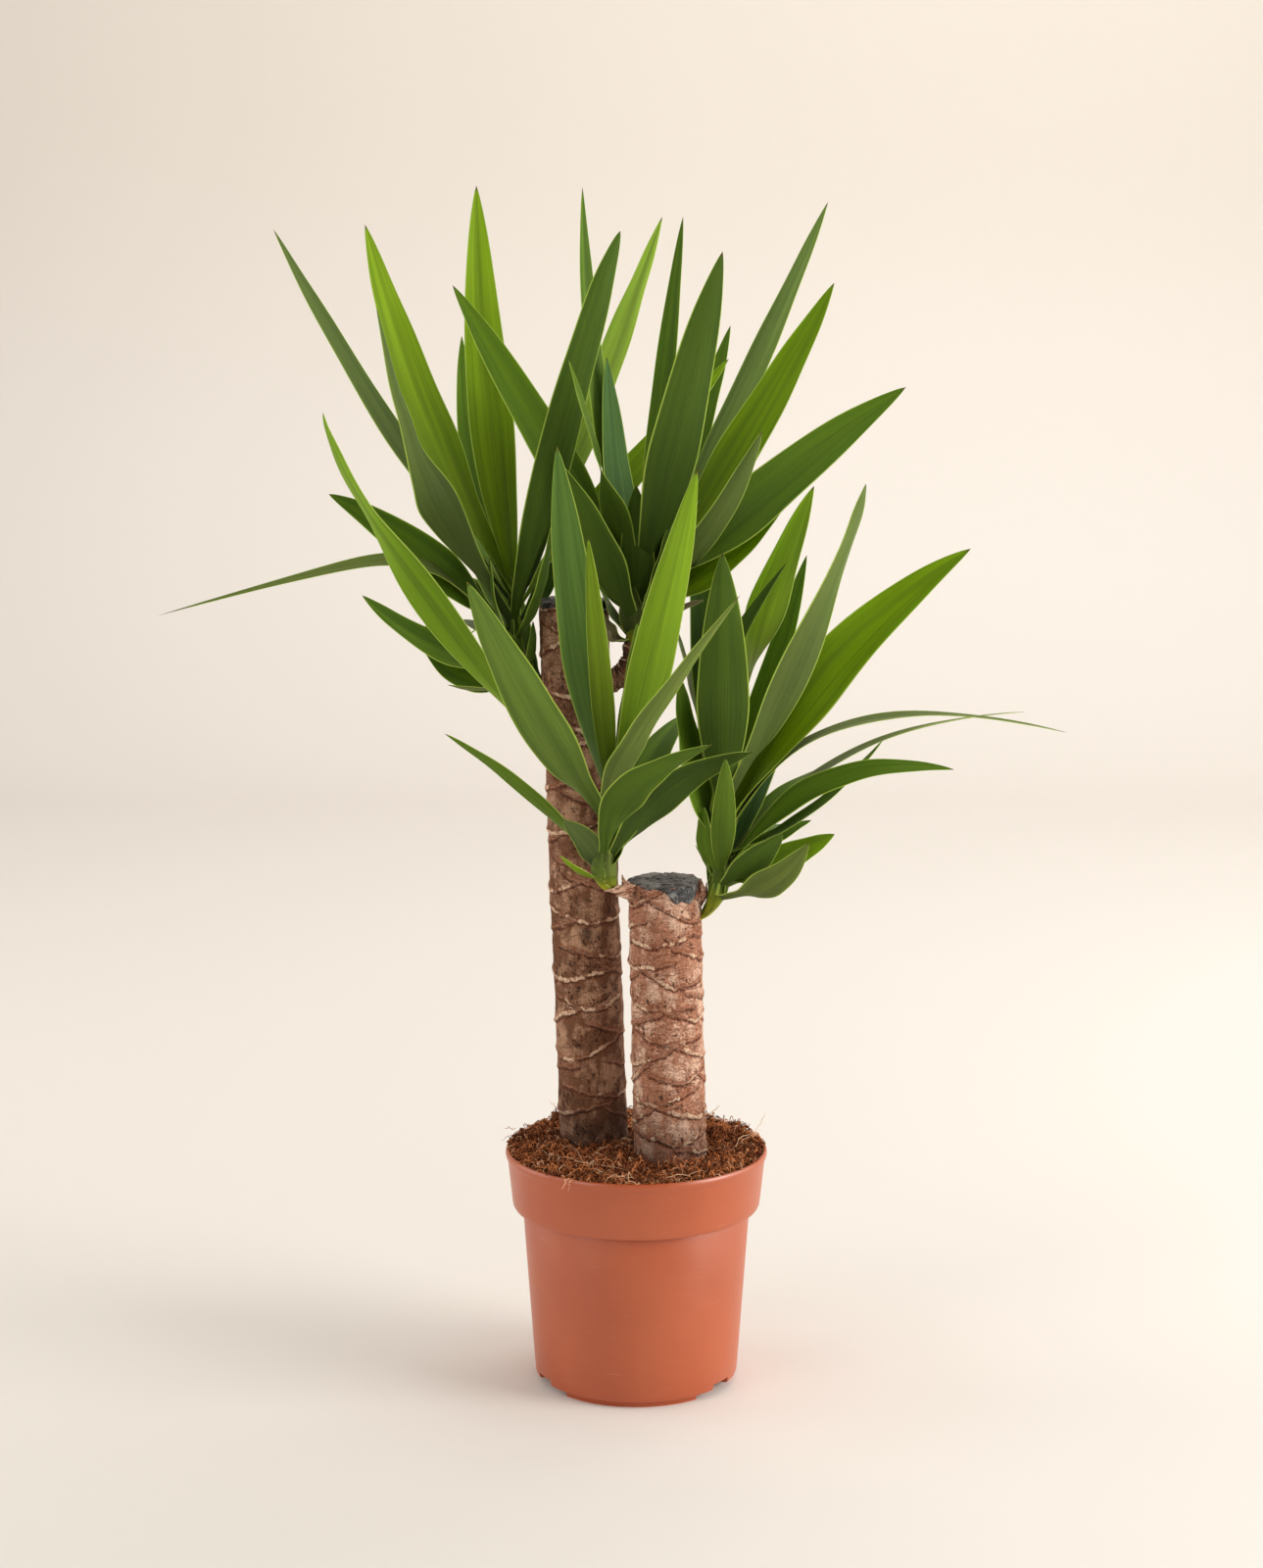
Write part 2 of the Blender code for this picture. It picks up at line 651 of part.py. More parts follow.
def add_heads():
    green = finish("leaf_green", 0.07, 0.17, 0.02, 0.45)
    add_head("tall_left_head", TALL_LEFT, 11, green)
    add_head("tall_right_head", TALL_RIGHT, 12, green)
    add_head("short_left_head", SHORT_LEFT, 13, green)
    add_head("short_right_head", SHORT_RIGHT, 14, green)


clear_scene()
add_pot()
add_soil()
add_canes()
add_waxes()
add_heads()
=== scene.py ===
"""Potted yucca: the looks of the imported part, in metres, with the camera and a plain studio."""

import math
import random
from collections import namedtuple

import bpy
import numpy as np
from mathutils import Matrix, Vector, noise


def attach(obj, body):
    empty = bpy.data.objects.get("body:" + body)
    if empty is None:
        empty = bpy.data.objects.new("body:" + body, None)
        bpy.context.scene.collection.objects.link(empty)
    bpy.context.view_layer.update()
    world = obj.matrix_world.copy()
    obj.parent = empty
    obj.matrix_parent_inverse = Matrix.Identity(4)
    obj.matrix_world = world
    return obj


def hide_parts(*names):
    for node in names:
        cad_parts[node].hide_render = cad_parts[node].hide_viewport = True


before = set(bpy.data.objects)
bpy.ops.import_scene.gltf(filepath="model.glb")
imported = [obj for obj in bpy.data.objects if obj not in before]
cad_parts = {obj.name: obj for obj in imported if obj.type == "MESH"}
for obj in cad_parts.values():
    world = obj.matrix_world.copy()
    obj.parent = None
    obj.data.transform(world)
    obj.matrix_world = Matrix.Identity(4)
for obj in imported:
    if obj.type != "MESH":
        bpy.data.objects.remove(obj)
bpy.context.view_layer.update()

MM = 0.001
bpy.ops.object.select_all(action="DESELECT")

# ---------------------------------------------------------------- camera
# A long lens a little above the middle of the plant, looking slightly down,
# so that the top of the pot shows as a narrow ellipse.
LENS_PLACE = (-0.0038, -2.210, 0.841)
LENS_DIP = 9.15
bpy.ops.object.camera_add(location=LENS_PLACE, rotation=(math.radians(90 - LENS_DIP), 0, 0))
camera = bpy.context.object
camera.data.lens = 65.25
camera.data.sensor_width = 36
bpy.context.scene.camera = camera


# ---------------------------------------------------------------- pot
# One moulding in terracotta polypropylene, satin outside: a flared body under a
# deep collar with a rounded lip, on a foot ring in three arcs with a notch
# between each two. It is turned from its outline, and the gaps are cut.
class Field:
    """A value in a shader. Sums with it add Math nodes."""

    def __init__(self, finish, socket):
        self.finish = finish
        self.socket = socket

    def maths(self, operation, *values):
        return self.finish.add("Math", {"operation": operation}, dict(enumerate(values)))

    def __add__(self, other):
        return self.maths("ADD", self, other)

    def __sub__(self, other):
        return self.maths("SUBTRACT", self, other)

    def __rsub__(self, other):
        return self.maths("SUBTRACT", other, self)

    def __mul__(self, other):
        return self.maths("MULTIPLY", self, other)

    def __abs__(self):
        return self.maths("ABSOLUTE", self)

    __radd__ = __add__
    __rmul__ = __mul__

    def ramp(self, low, high, first=0.0, last=1.0):
        """Eases from first to last as the value goes from low to high."""
        settings = {"interpolation_type": "SMOOTHSTEP"}
        sockets = {0: self, 1: low, 2: high, 3: first, 4: last}
        return self.finish.add("MapRange", settings, sockets)

    def twin(self, out):
        """Another output of the node that the value comes from."""
        return Field(self.finish, self.socket.node.outputs[out])


class Finish:
    """A material with one Principled shader, whose sockets take numbers or fields."""

    def __init__(self, name, **numbers):
        self.material = bpy.data.materials.new(name)
        self.material.use_nodes = True
        self.tree = self.material.node_tree
        self.shader = self.tree.nodes["Principled BSDF"]
        for socket, number in numbers.items():
            self.shader.inputs[socket.replace("_", " ")].default_value = number

    def add(self, kind, settings, sockets, out=0):
        """Any node: its settings are set first, then each socket is given a number or a link."""
        node = self.tree.nodes.new("ShaderNode" + kind)
        for name, value in settings.items():
            setattr(node, name, value)
        for key, value in sockets.items():
            if isinstance(value, Field):
                self.tree.links.new(value.socket, node.inputs[key])
            else:
                node.inputs[key].default_value = value
        return Field(self, node.outputs[out])

    def place(self, x=1.0, y=1.0, z=1.0):
        """The object's own coordinates, stretched."""
        here = self.add("TexCoord", {}, {}, "Object")
        sockets = {0: here, 1: (x, y, z)}
        return self.add("VectorMath", {"operation": "MULTIPLY"}, sockets)

    def height(self):
        """The height above the floor, in metres."""
        return self.add("SeparateXYZ", {}, {0: self.place()}, 2)

    def painted(self, name, out="Fac"):
        """What an attribute on the piece's points says."""
        return self.add("Attribute", {"attribute_name": name}, {}, out)

    def grain(self, where, scale, detail=3.0, rough=0.5, twist=0.0):
        sockets = {"Vector": where, "Scale": scale, "Detail": detail,
                   "Roughness": rough, "Distortion": twist}
        return self.add("TexNoise", {}, sockets)

    def layer(self, below, above, cover):
        """One colour over another, where cover is 1."""
        below, above = ((*c, 1) if isinstance(c, tuple) else c for c in (below, above))
        sockets = {0: cover, 6: below, 7: above}
        return self.add("Mix", {"data_type": "RGBA"}, sockets, 2)

    def coats(self, colour, *coats):
        """Coats over a colour, the lowest first: each is a colour and where it covers."""
        for coat, cover in coats:
            colour = self.layer(colour, coat, cover)
        return colour

    def shade(self, colour, strength):
        """A colour made darker or lighter by a field."""
        sockets = {0: colour, "Scale": strength}
        return self.add("VectorMath", {"operation": "SCALE"}, sockets)

    def point(self, *values):
        """A place made of three values."""
        return self.add("CombineXYZ", {}, dict(enumerate(values)))

    def show(self, **fields):
        """Links fields to the shader's sockets."""
        for socket, field in fields.items():
            self.tree.links.new(field.socket, self.shader.inputs[socket.replace("_", " ")])

    def relief(self, height, depth, below=None):
        """Bump of a depth in metres, over any bump below it."""
        sockets = {"Height": height, "Strength": 1.0, "Distance": depth}
        if below:
            sockets["Normal"] = below
        return self.add("Bump", {}, sockets)


def put_on(piece, finish, slot, *nodes):
    """Gives a piece its finish and the body it rides on, and hides the nodes it stands for. The
    slot is not used.
    """
    piece.data.materials.clear()
    piece.data.materials.append(finish.material)
    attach(piece, "root")
    if nodes:
        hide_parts(*nodes)


def go_to(mode):
    bpy.ops.object.mode_set(mode=mode)


def smooth_under(degrees):
    """Smooth shading, save where faces meet at a sharper angle."""
    bpy.ops.object.shade_smooth_by_angle(angle=math.radians(degrees))


def turned(name, sides, outline):
    """A disc drawn out ring by ring along an outline in mm, whose first ring is at height 0."""
    bpy.ops.mesh.primitive_circle_add(vertices=sides, radius=outline[0][0] * MM, fill_type="NGON")
    piece = bpy.context.object
    piece.name = name
    go_to("EDIT")
    bpy.ops.mesh.select_mode(type="EDGE")
    bpy.ops.mesh.select_all(action="SELECT")
    for (radius, height), (next_radius, next_height) in zip(outline, outline[1:]):
        rise = (0, 0, (next_height - height) * MM)
        spread = next_radius / radius
        bpy.ops.mesh.extrude_edges_move(TRANSFORM_OT_translate={"value": rise})
        bpy.ops.transform.resize(value=(spread, spread, 1), center_override=(0, 0, 0))
    bpy.ops.mesh.edge_face_add()
    bpy.ops.mesh.select_all(action="SELECT")
    bpy.ops.mesh.normals_make_consistent(inside=False)
    go_to("OBJECT")
    return piece


def select_only(piece, *others):
    bpy.ops.object.select_all(action="DESELECT")
    for thing in (piece, *others):
        thing.select_set(True)
    bpy.context.view_layer.objects.active = piece


def join_to(piece, others):
    """Joins others to a piece, which keeps its name."""
    select_only(piece, *others)
    bpy.ops.object.join()


def cut_away(piece, cutters):
    """Cuts the joined cutters out of a piece."""
    tool = cutters[0]
    join_to(tool, cutters[1:])
    select_only(piece)
    cut = piece.modifiers.new("cut", "BOOLEAN")
    cut.object = tool
    cut.solver = "EXACT"
    cut.use_self = True
    bpy.ops.object.modifier_apply(modifier="cut")
    bpy.data.objects.remove(tool, do_unlink=True)


# Radius and height, from the pad under the floor, round the foot, up the
# outside, over the lip and down the inside to the floor.
POT_OUTLINE = (
    (12, 0), (13.5, 10), (76.2, 10), (75.2, 4.4), (74.5, 0), (77, 0), (77.6, 4.4), (80.0, 4.6),
    (81.2, 5.3), (81.7, 6.6), (83.2, 26), (91.2, 139.6), (90.7, 140.8), (91.3, 142.0),
    (96.2, 142.6), (98.3, 143.6), (99.3, 145.4), (99.8, 149), (103.2, 181.6), (103.8, 183.4),
    (104.6, 184.7), (105.0, 186.4), (104.9, 188.2), (104.3, 189.4), (103.2, 190), (102.4, 189.7),
    (101.9, 188.6), (101.4, 186), (97.9, 149), (97.0, 146.8), (93.6, 145.2), (90.2, 143.4),
    (89.5, 141), (80.6, 16), (79.6, 13.6), (77.6, 12.6), (20, 12.6), (2, 12.6),
)
FOOT_RADIUS = 77.0
FOOT_GAP_ANGLES = (-34, 86, 206)
# Depth, width and height of a gap in the foot ring, and of the notch over its middle.
FOOT_GAP_CUTS = ((18, 47.6, 4.2), (26, 21, 9.6))
DRAIN_COUNT = 6
DRAIN_RADIUS = 5.0
DRAIN_RING = 58.0
FLOOR_MIDDLE = 11.3


def on_ring(radius, angle, height=0.0):
    """A place in metres round the pot's axis, from mm."""
    return radius * MM * math.cos(angle), radius * MM * math.sin(angle), height * MM


pot = turned("terracotta_pot", 144, POT_OUTLINE)
cutters = []
for turn in FOOT_GAP_ANGLES:
    angle = math.radians(turn)
    place = on_ring(FOOT_RADIUS, angle)
    for depth, width, top in FOOT_GAP_CUTS:
        bpy.ops.mesh.primitive_cube_add(size=1, location=place, rotation=(0, 0, angle))
        bpy.context.object.scale = (depth * MM, width * MM, 2 * top * MM)
        cutters.append(bpy.context.object)
for i in range(DRAIN_COUNT):
    place = on_ring(DRAIN_RING, 2 * math.pi * (i + 0.5) / DRAIN_COUNT, FLOOR_MIDDLE)
    bpy.ops.mesh.primitive_cylinder_add(
        vertices=40, radius=DRAIN_RADIUS * MM, depth=12 * MM, location=place)
    cutters.append(bpy.context.object)
cut_away(pot, cutters)
soften = pot.modifiers.new("soften", "BEVEL")
soften.width = 0.35 * MM
soften.segments = 2
soften.limit_method = "ANGLE"
soften.angle_limit = math.radians(38)
bpy.ops.object.modifier_apply(modifier="soften")
smooth_under(32)

terracotta = Finish("terracotta_plastic", IOR=1.50, Specular_IOR_Level=0.8)
cloud = terracotta.grain(terracotta.place(), 14, 4)
turned_lines = terracotta.grain(terracotta.place(6, 6, 420), 1.0, 3)
scuffs = terracotta.grain(terracotta.place(22, 22, 620), 1.0, 4, 0.6).ramp(0.66, 0.74)
dust = terracotta.grain(terracotta.place(), 900, 2).ramp(0.62, 0.78)
clay = terracotta.layer((0.400, 0.068, 0.011), (0.440, 0.084, 0.019), cloud.ramp(0.3, 0.7))
clay = terracotta.shade(clay, 0.97 + 0.06 * turned_lines)
clay = terracotta.coats(
    clay, ((0.62, 0.27, 0.15), 0.35 * scuffs), ((0.58, 0.30, 0.18), 0.10 * dust))
dull = 0.27 + 0.12 * cloud + 0.12 * scuffs + 0.05 * turned_lines
peel = terracotta.relief(terracotta.grain(terracotta.place(), 650, 3, 0.6), 0.06 * MM)
ridges = terracotta.relief(turned_lines, 0.08 * MM, peel)
terracotta.show(Base_Color=clay, Roughness=dull, Normal=ridges)
put_on(pot, terracotta, "pot_plastic", "pot")


# ---------------------------------------------------------------- coir
# Potting mix of shredded coconut husk, filled to the lip: a lumpy bed, loose
# crumbs on it, and curled fibres that lie in it and stray over the lip.
SOIL_LEVEL = 188.8
SOIL_TILT = 0.020
SOIL_MOUND = 4.5
MOUND_RADIUS = 95
SHRED_REACH = 106
SHRED_FADE = 9
# Tufts that stand above the rest: x, y, spread and height in mm.
TUFTS = (
    (-66, 70, 5, 9), (26, -64, 12, 5), (-62, -12, 15, 4), (74, 34, 16, 4), (-20, 88, 14, 3),
    (-38, -70, 16, 3), (58, -58, 14, 3), (84, 4, 9, 3), (-88, 22, 9, 3), (44, 78, 9, 4),
    (-44, 84, 6, 4),
)


def smooth(x):
    x = np.clip(x, 0, 1)
    return x * x * (3 - 2 * x)


def soil_height(x, y):
    """The bed's own level, in mm."""
    level = SOIL_LEVEL + SOIL_TILT * y + SOIL_MOUND * (1 - smooth(np.hypot(x, y) / MOUND_RADIUS))
    for tuft_x, tuft_y, spread, high in TUFTS:
        level = level + high * np.exp(-((x - tuft_x) ** 2 + (y - tuft_y) ** 2) / spread**2)
    return level


def points_of(piece):
    points = np.empty(len(piece.data.vertices) * 3)
    piece.data.vertices.foreach_get("co", points)
    return points.reshape(-1, 3)


def move_points(piece, points):
    """Puts a piece's points at new places, in mm."""
    places = np.ascontiguousarray(points * MM, dtype=np.float32)
    piece.data.vertices.foreach_set("co", places.ravel())
    piece.data.update()


def noise_at(points, scale, octaves=3, seed=0.0):
    """Fractal noise, about -1 to 1, at points in mm."""
    offset = Vector((seed * 13.1, seed * 7.7, seed * 3.3))
    return np.array(
        [noise.fractal(Vector(p) * scale + offset, 0.9, 2.0, octaves) for p in points.tolist()])


def shreds(spots, radius):
    """How far the shreds stand above the bed's own level, in mm."""
    rough = 3.4 * noise_at(spots, 0.11, 4, 1) + 2.8 * noise_at(spots, 0.34, 3, 2)
    return rough * smooth((SHRED_REACH - radius) / SHRED_FADE)


def pick(piece, kind, wanted):
    """Goes into edit mode with the edges or faces of a piece selected that pass a test."""
    go_to("EDIT")
    bpy.ops.mesh.select_mode(type=kind)
    bpy.ops.mesh.select_all(action="DESELECT")
    go_to("OBJECT")
    for part in piece.data.edges if kind == "EDGE" else piece.data.polygons:
        part.select = wanted(part)
    go_to("EDIT")


def fill_with_rings(piece, wanted, count, step):
    """Insets a face over and over, and closes the last ring with a fan."""
    pick(piece, "FACE", wanted)
    for _ in range(count):
        bpy.ops.mesh.inset(thickness=step)
    bpy.ops.mesh.poke()
    go_to("OBJECT")


BED_OUTLINE = ((101.0, 184), (97.5, 149), (93.2, 145), (89.0, 141), (80.1, 16), (77.2, 13))
BED_EDGE = BED_OUTLINE[0][1]
bed = turned("coir_bed", 220, BED_OUTLINE)
fill_with_rings(bed, lambda face: face.center.z > -1 * MM, 58, 1.7 * MM)
points = points_of(bed) / MM + (0, 0, BED_EDGE)
top = points[:, 2] > BED_EDGE - 0.5
x, y = points[top, 0], points[top, 1]
points[top, 2] = soil_height(x, y) + shreds(np.column_stack((x, y, 0 * x)), np.hypot(x, y))
move_points(bed, points)
smooth_under(70)


def coir_finish(name, dark, mid, bright, scale):
    coir = Finish(name, Roughness=0.95, Specular_IOR_Level=0.15)
    clumps = coir.grain(coir.place(), scale, 5, 0.65)
    specks = coir.grain(coir.place(), scale * 6, 3, 0.7)
    # painted light: the near-black colour where the clumps thin out is partly dark coir and partly
    # painted shade in the gaps between clumps, and the bright specks are partly paler fibre and
    # partly painted highlights
    lit = 0.85 * specks.ramp(0.48, 0.66)
    tone = coir.coats(dark, (mid, clumps.ramp(0.40, 0.54)), (bright, lit))
    rough = coir.relief(specks, 1.0 * MM, coir.relief(clumps, 2.2 * MM))
    coir.show(Base_Color=tone, Normal=rough)
    return coir


bed_coir = coir_finish(
    "coir_bed", (0.010, 0.003, 0.001), (0.100, 0.027, 0.008), (0.36, 0.115, 0.036), 130)
put_on(bed, bed_coir, "coir", "soil")


def add_attribute(piece, name, values):
    layer = piece.data.attributes.new(name, "FLOAT", "POINT")
    layer.data.foreach_set("value", np.asarray(values, dtype=np.float32))


def one_mesh(name, shapes, faces, tones):
    """Many copies of a small shape as one piece: shapes is copies x points x 3, in mm."""
    shapes = np.array(shapes)
    copies, count = shapes.shape[:2]
    first_points = (np.arange(copies) * count)[:, None, None]
    all_faces = (np.asarray(faces)[None] + first_points).reshape(-1, len(faces[0]))
    mesh = bpy.data.meshes.new(name)
    mesh.from_pydata((shapes.reshape(-1, 3) * MM).tolist(), [], all_faces.tolist())
    piece = bpy.data.objects.new(name, mesh)
    add_attribute(piece, "tone", np.repeat(tones, count))
    mesh.update()
    bpy.context.collection.objects.link(piece)
    mesh.shade_smooth()
    return piece


# Each cane's place and radius at the soil.
CANE_SPOTS = ((-34.0, 17.0, 28.5), (27.0, -24.5, 30.0))
CRUMB_COUNT = 2600
CRUMB_REACH = 102.5
STRAND_COUNT = 4000
STRAND_REACH = 103
LIP_REACH = 103.5
rng = random.Random(5)


def loose_spot(reach, room):
    """A random place on the mix, clear of the canes."""
    while True:
        angle, r = rng.uniform(0, 2 * math.pi), reach * math.sqrt(rng.random())
        x, y = r * math.cos(angle), r * math.sin(angle)
        if all(math.hypot(x - cx, y - cy) > wide + room for cx, cy, wide in CANE_SPOTS):
            return x, y


def bed_level(x, y):
    """The bed with its shreds at one spot, in mm."""
    return float(soil_height(x, y) + shreds(np.array([[x, y, 0.0]]), math.hypot(x, y))[0])


bpy.ops.mesh.primitive_ico_sphere_add(subdivisions=1, radius=1)
lump = bpy.context.object
lump_points = points_of(lump)
lump_faces = [list(face.vertices) for face in lump.data.polygons]
bpy.data.objects.remove(lump, do_unlink=True)
crumbs, crumb_tones = [], []
for _ in range(CRUMB_COUNT):
    x, y = loose_spot(CRUMB_REACH, 0.5)
    size = rng.choice((0.6, 0.8, 1.0, 1.2, 1.6, 2.0)) * rng.uniform(0.8, 1.3)
    turn = Matrix.Rotation(rng.uniform(0, 6.3), 3, "Z")
    turn = turn @ Matrix.Rotation(rng.uniform(0, 3.1), 3, "X")
    ragged = 1 + 0.5 * noise_at(lump_points, 1.3, 2, rng.uniform(0, 50))
    shape = lump_points * ragged[:, None] * np.array((1.7, 0.9, 0.6)) * size
    crumbs.append(shape @ np.array(turn.transposed()) + (x, y, bed_level(x, y) + 0.5 * size))
    crumb_tones.append(rng.random())
crumb_piece = one_mesh("coir_crumbs", crumbs, lump_faces, crumb_tones)
crumb_coir = coir_finish(
    "coir_crumbs", (0.030, 0.008, 0.003), (0.220, 0.060, 0.017), (0.52, 0.180, 0.062), 190)
put_on(crumb_piece, crumb_coir, "coir")

FIBRE_SECTIONS = 8
fibre_faces = []
for i in range(FIBRE_SECTIONS - 1):
    for j in range(3):
        a, b = 3 * i + j, 3 * i + (j + 1) % 3
        fibre_faces += [(a, b, b + 3), (a, b + 3, a + 3)]
fibre_faces += [(2, 1, 0), tuple(3 * FIBRE_SECTIONS - k for k in (3, 2, 1))]


def unit(vectors):
    return vectors / np.linalg.norm(vectors, axis=-1, keepdims=True)


def fibre(path, thick):
    """A three-sided strand through eight points, thin at both ends."""
    path = np.asarray(path, float)
    along = unit(np.gradient(path, axis=0))
    side = unit(np.cross(along, (0.13, 0.2, 0.97)))
    lift = np.cross(side, along)
    girth = thick * np.sin(np.linspace(0.25, math.pi - 0.2, FIBRE_SECTIONS))
    strand = []
    for k in range(3):
        a = 2 * math.pi * k / 3
        strand.append(path + girth[:, None] * (math.cos(a) * side + math.sin(a) * lift))
    return np.stack(strand, axis=1).reshape(-1, 3)


def curled_path(x, y, heading, length, curl, hop):
    """A strand that wanders over the bed and arches up from it."""
    path = []
    step = length / (FIBRE_SECTIONS - 1)
    for i in range(FIBRE_SECTIONS):
        r = math.hypot(x, y)
        if r > LIP_REACH:
            x, y = x * LIP_REACH / r, y * LIP_REACH / r
        arch = hop * math.sin(math.pi * i / (FIBRE_SECTIONS - 1))
        path.append((x, y, bed_level(x, y) + arch + 0.4))
        heading += curl * rng.uniform(0.3, 1.7)
        x += step * math.cos(heading)
        y += step * math.sin(heading)
    return path


def along_points(points):
    """Eight places spread evenly over a few given points."""
    points = np.array(points, float)
    at = np.linspace(0, len(points) - 1, FIBRE_SECTIONS)
    return np.column_stack([np.interp(at, np.arange(len(points)), points[:, k]) for k in range(3)])


# The longest pale strands lie on top, and a few hairs stray over the lip.
LONG_STRANDS = (
    ((-73, 15, 194), (-66, 8, 197), (-56, -7, 195), (-46, -34, 195), (-39, -64, 192)),
    ((-65, -40, 192), (-56, -48, 195), (-46, -56, 194), (-24, -66, 193), (-7, -74, 192)),
    ((-74, 14, 194), (-80, -4, 193), (-79, -30, 191)),
    ((-33, -34, 195), (-24, -27, 198), (-15, -21, 195)),
    ((76, -18, 193), (84, 0, 197), (93, 18, 196), (100, 33, 194)),
    ((80, -10, 193), (92, 12, 196), (98, 20, 195)),
    ((38, -84, 191), (47, -78, 193), (56, -70, 191)),
    ((96, 30, 194), (102, 38, 199), (106, 42, 206)),
    ((-97, 36, 193), (-103, 30, 197), (-108, 22, 199)),
    ((-99, 20, 192), (-104, 16, 195), (-109, 4, 193)),
    ((-52, -92, 191), (-55, -97, 191), (-58, -101, 185)),
    ((-50, -93, 191), (-52, -96, 190), (-52, -99, 184)),
    ((-66, 70, 202), (-68, 72, 205), (-72, 72, 208)),
    ((-40, 60, 196), (-44, 40, 199), (-50, 22, 197)),
    ((60, 80, 193), (66, 78, 199), (70, 76, 203)),
    ((20, -92, 190), (32, -88, 194), (44, -86, 191)),
    ((-20, -88, 191), (-12, -92, 193), (0, -90, 191)),
)

strands, strand_tones = [], []
for points in LONG_STRANDS:
    wobble = [[rng.uniform(-1, 1) for _ in range(3)] for _ in range(FIBRE_SECTIONS)]
    strands.append(fibre(along_points(points) + wobble, rng.uniform(0.28, 0.42)))
    strand_tones.append(rng.uniform(0.9, 1.0))
while len(strands) < STRAND_COUNT:
    x, y = loose_spot(STRAND_REACH, 0)
    length = rng.choice((4, 6, 8, 10, 14, 20))
    hop = rng.uniform(0.3, 2.2) + (rng.random() ** 4) * 5
    path = curled_path(x, y, rng.uniform(0, 6.3), length, rng.uniform(-0.6, 0.6), hop)
    strands.append(fibre(path, rng.uniform(0.20, 0.46)))
    strand_tones.append(rng.random() ** 1.5)
fibres = one_mesh("coir_fibres", strands, fibre_faces, strand_tones)
husk = Finish("coir_fibre", Roughness=0.8, Specular_IOR_Level=0.2)
tone = husk.painted("tone")
husk.show(Base_Color=husk.coats(
    (0.110, 0.026, 0.007), ((0.66, 0.225, 0.075), tone.ramp(0.1, 0.6)),
    ((0.80, 0.50, 0.30), tone.ramp(0.76, 0.98)),
))
put_on(fibres, husk, "coir")


# ---------------------------------------------------------------- canes
# Two sawn lengths of old yucca trunk, the tall one with a short woody side
# shoot. The bark is corky and cracked upright, and each fallen leaf has left a
# pale scar, a drooping crescent broken into blocks, a golden angle past the last.
Cane = namedtuple("Cane", "soil top radius first_scar slant")
TALL_CANE = Cane((-34.0, 17.0, 188.0), (-49.5, 20.0, 628.0), 27.2, 206.0, 1.0)
SHORT_CANE = Cane((27.0, -24.5, 188.0), (22.0, -22.0, 411.5), 28.5, 214.0, 1.0)
CANE_FOOT = 60.0
UNDER_SOIL = 182.0
UNDER_SOIL_ROWS = 0.06
SWELL = 1.6
SWELL_TOP = 204.0
SWELL_RUN = 22.0
GOLDEN_ANGLE = math.radians(137.5)
SCAR_BLOCKS = 90
FAR_OFF = 30.0


def round_places(angle, radius, height=0.0):
    """Places in mm round an upright axis."""
    return np.column_stack((np.cos(angle) * radius, np.sin(angle) * radius, height + 0 * angle))


def wrap_cane(piece, cane, angle, radius, height):
    """Moves a piece's points to their places round a cane, whose axis leans."""
    share = (height - cane.soil[2]) / (cane.top[2] - cane.soil[2])
    x = cane.soil[0] + (cane.top[0] - cane.soil[0]) * share
    y = cane.soil[1] + (cane.top[1] - cane.soil[1]) * share
    move_points(piece, np.column_stack((x, y, height)) + round_places(angle, radius))


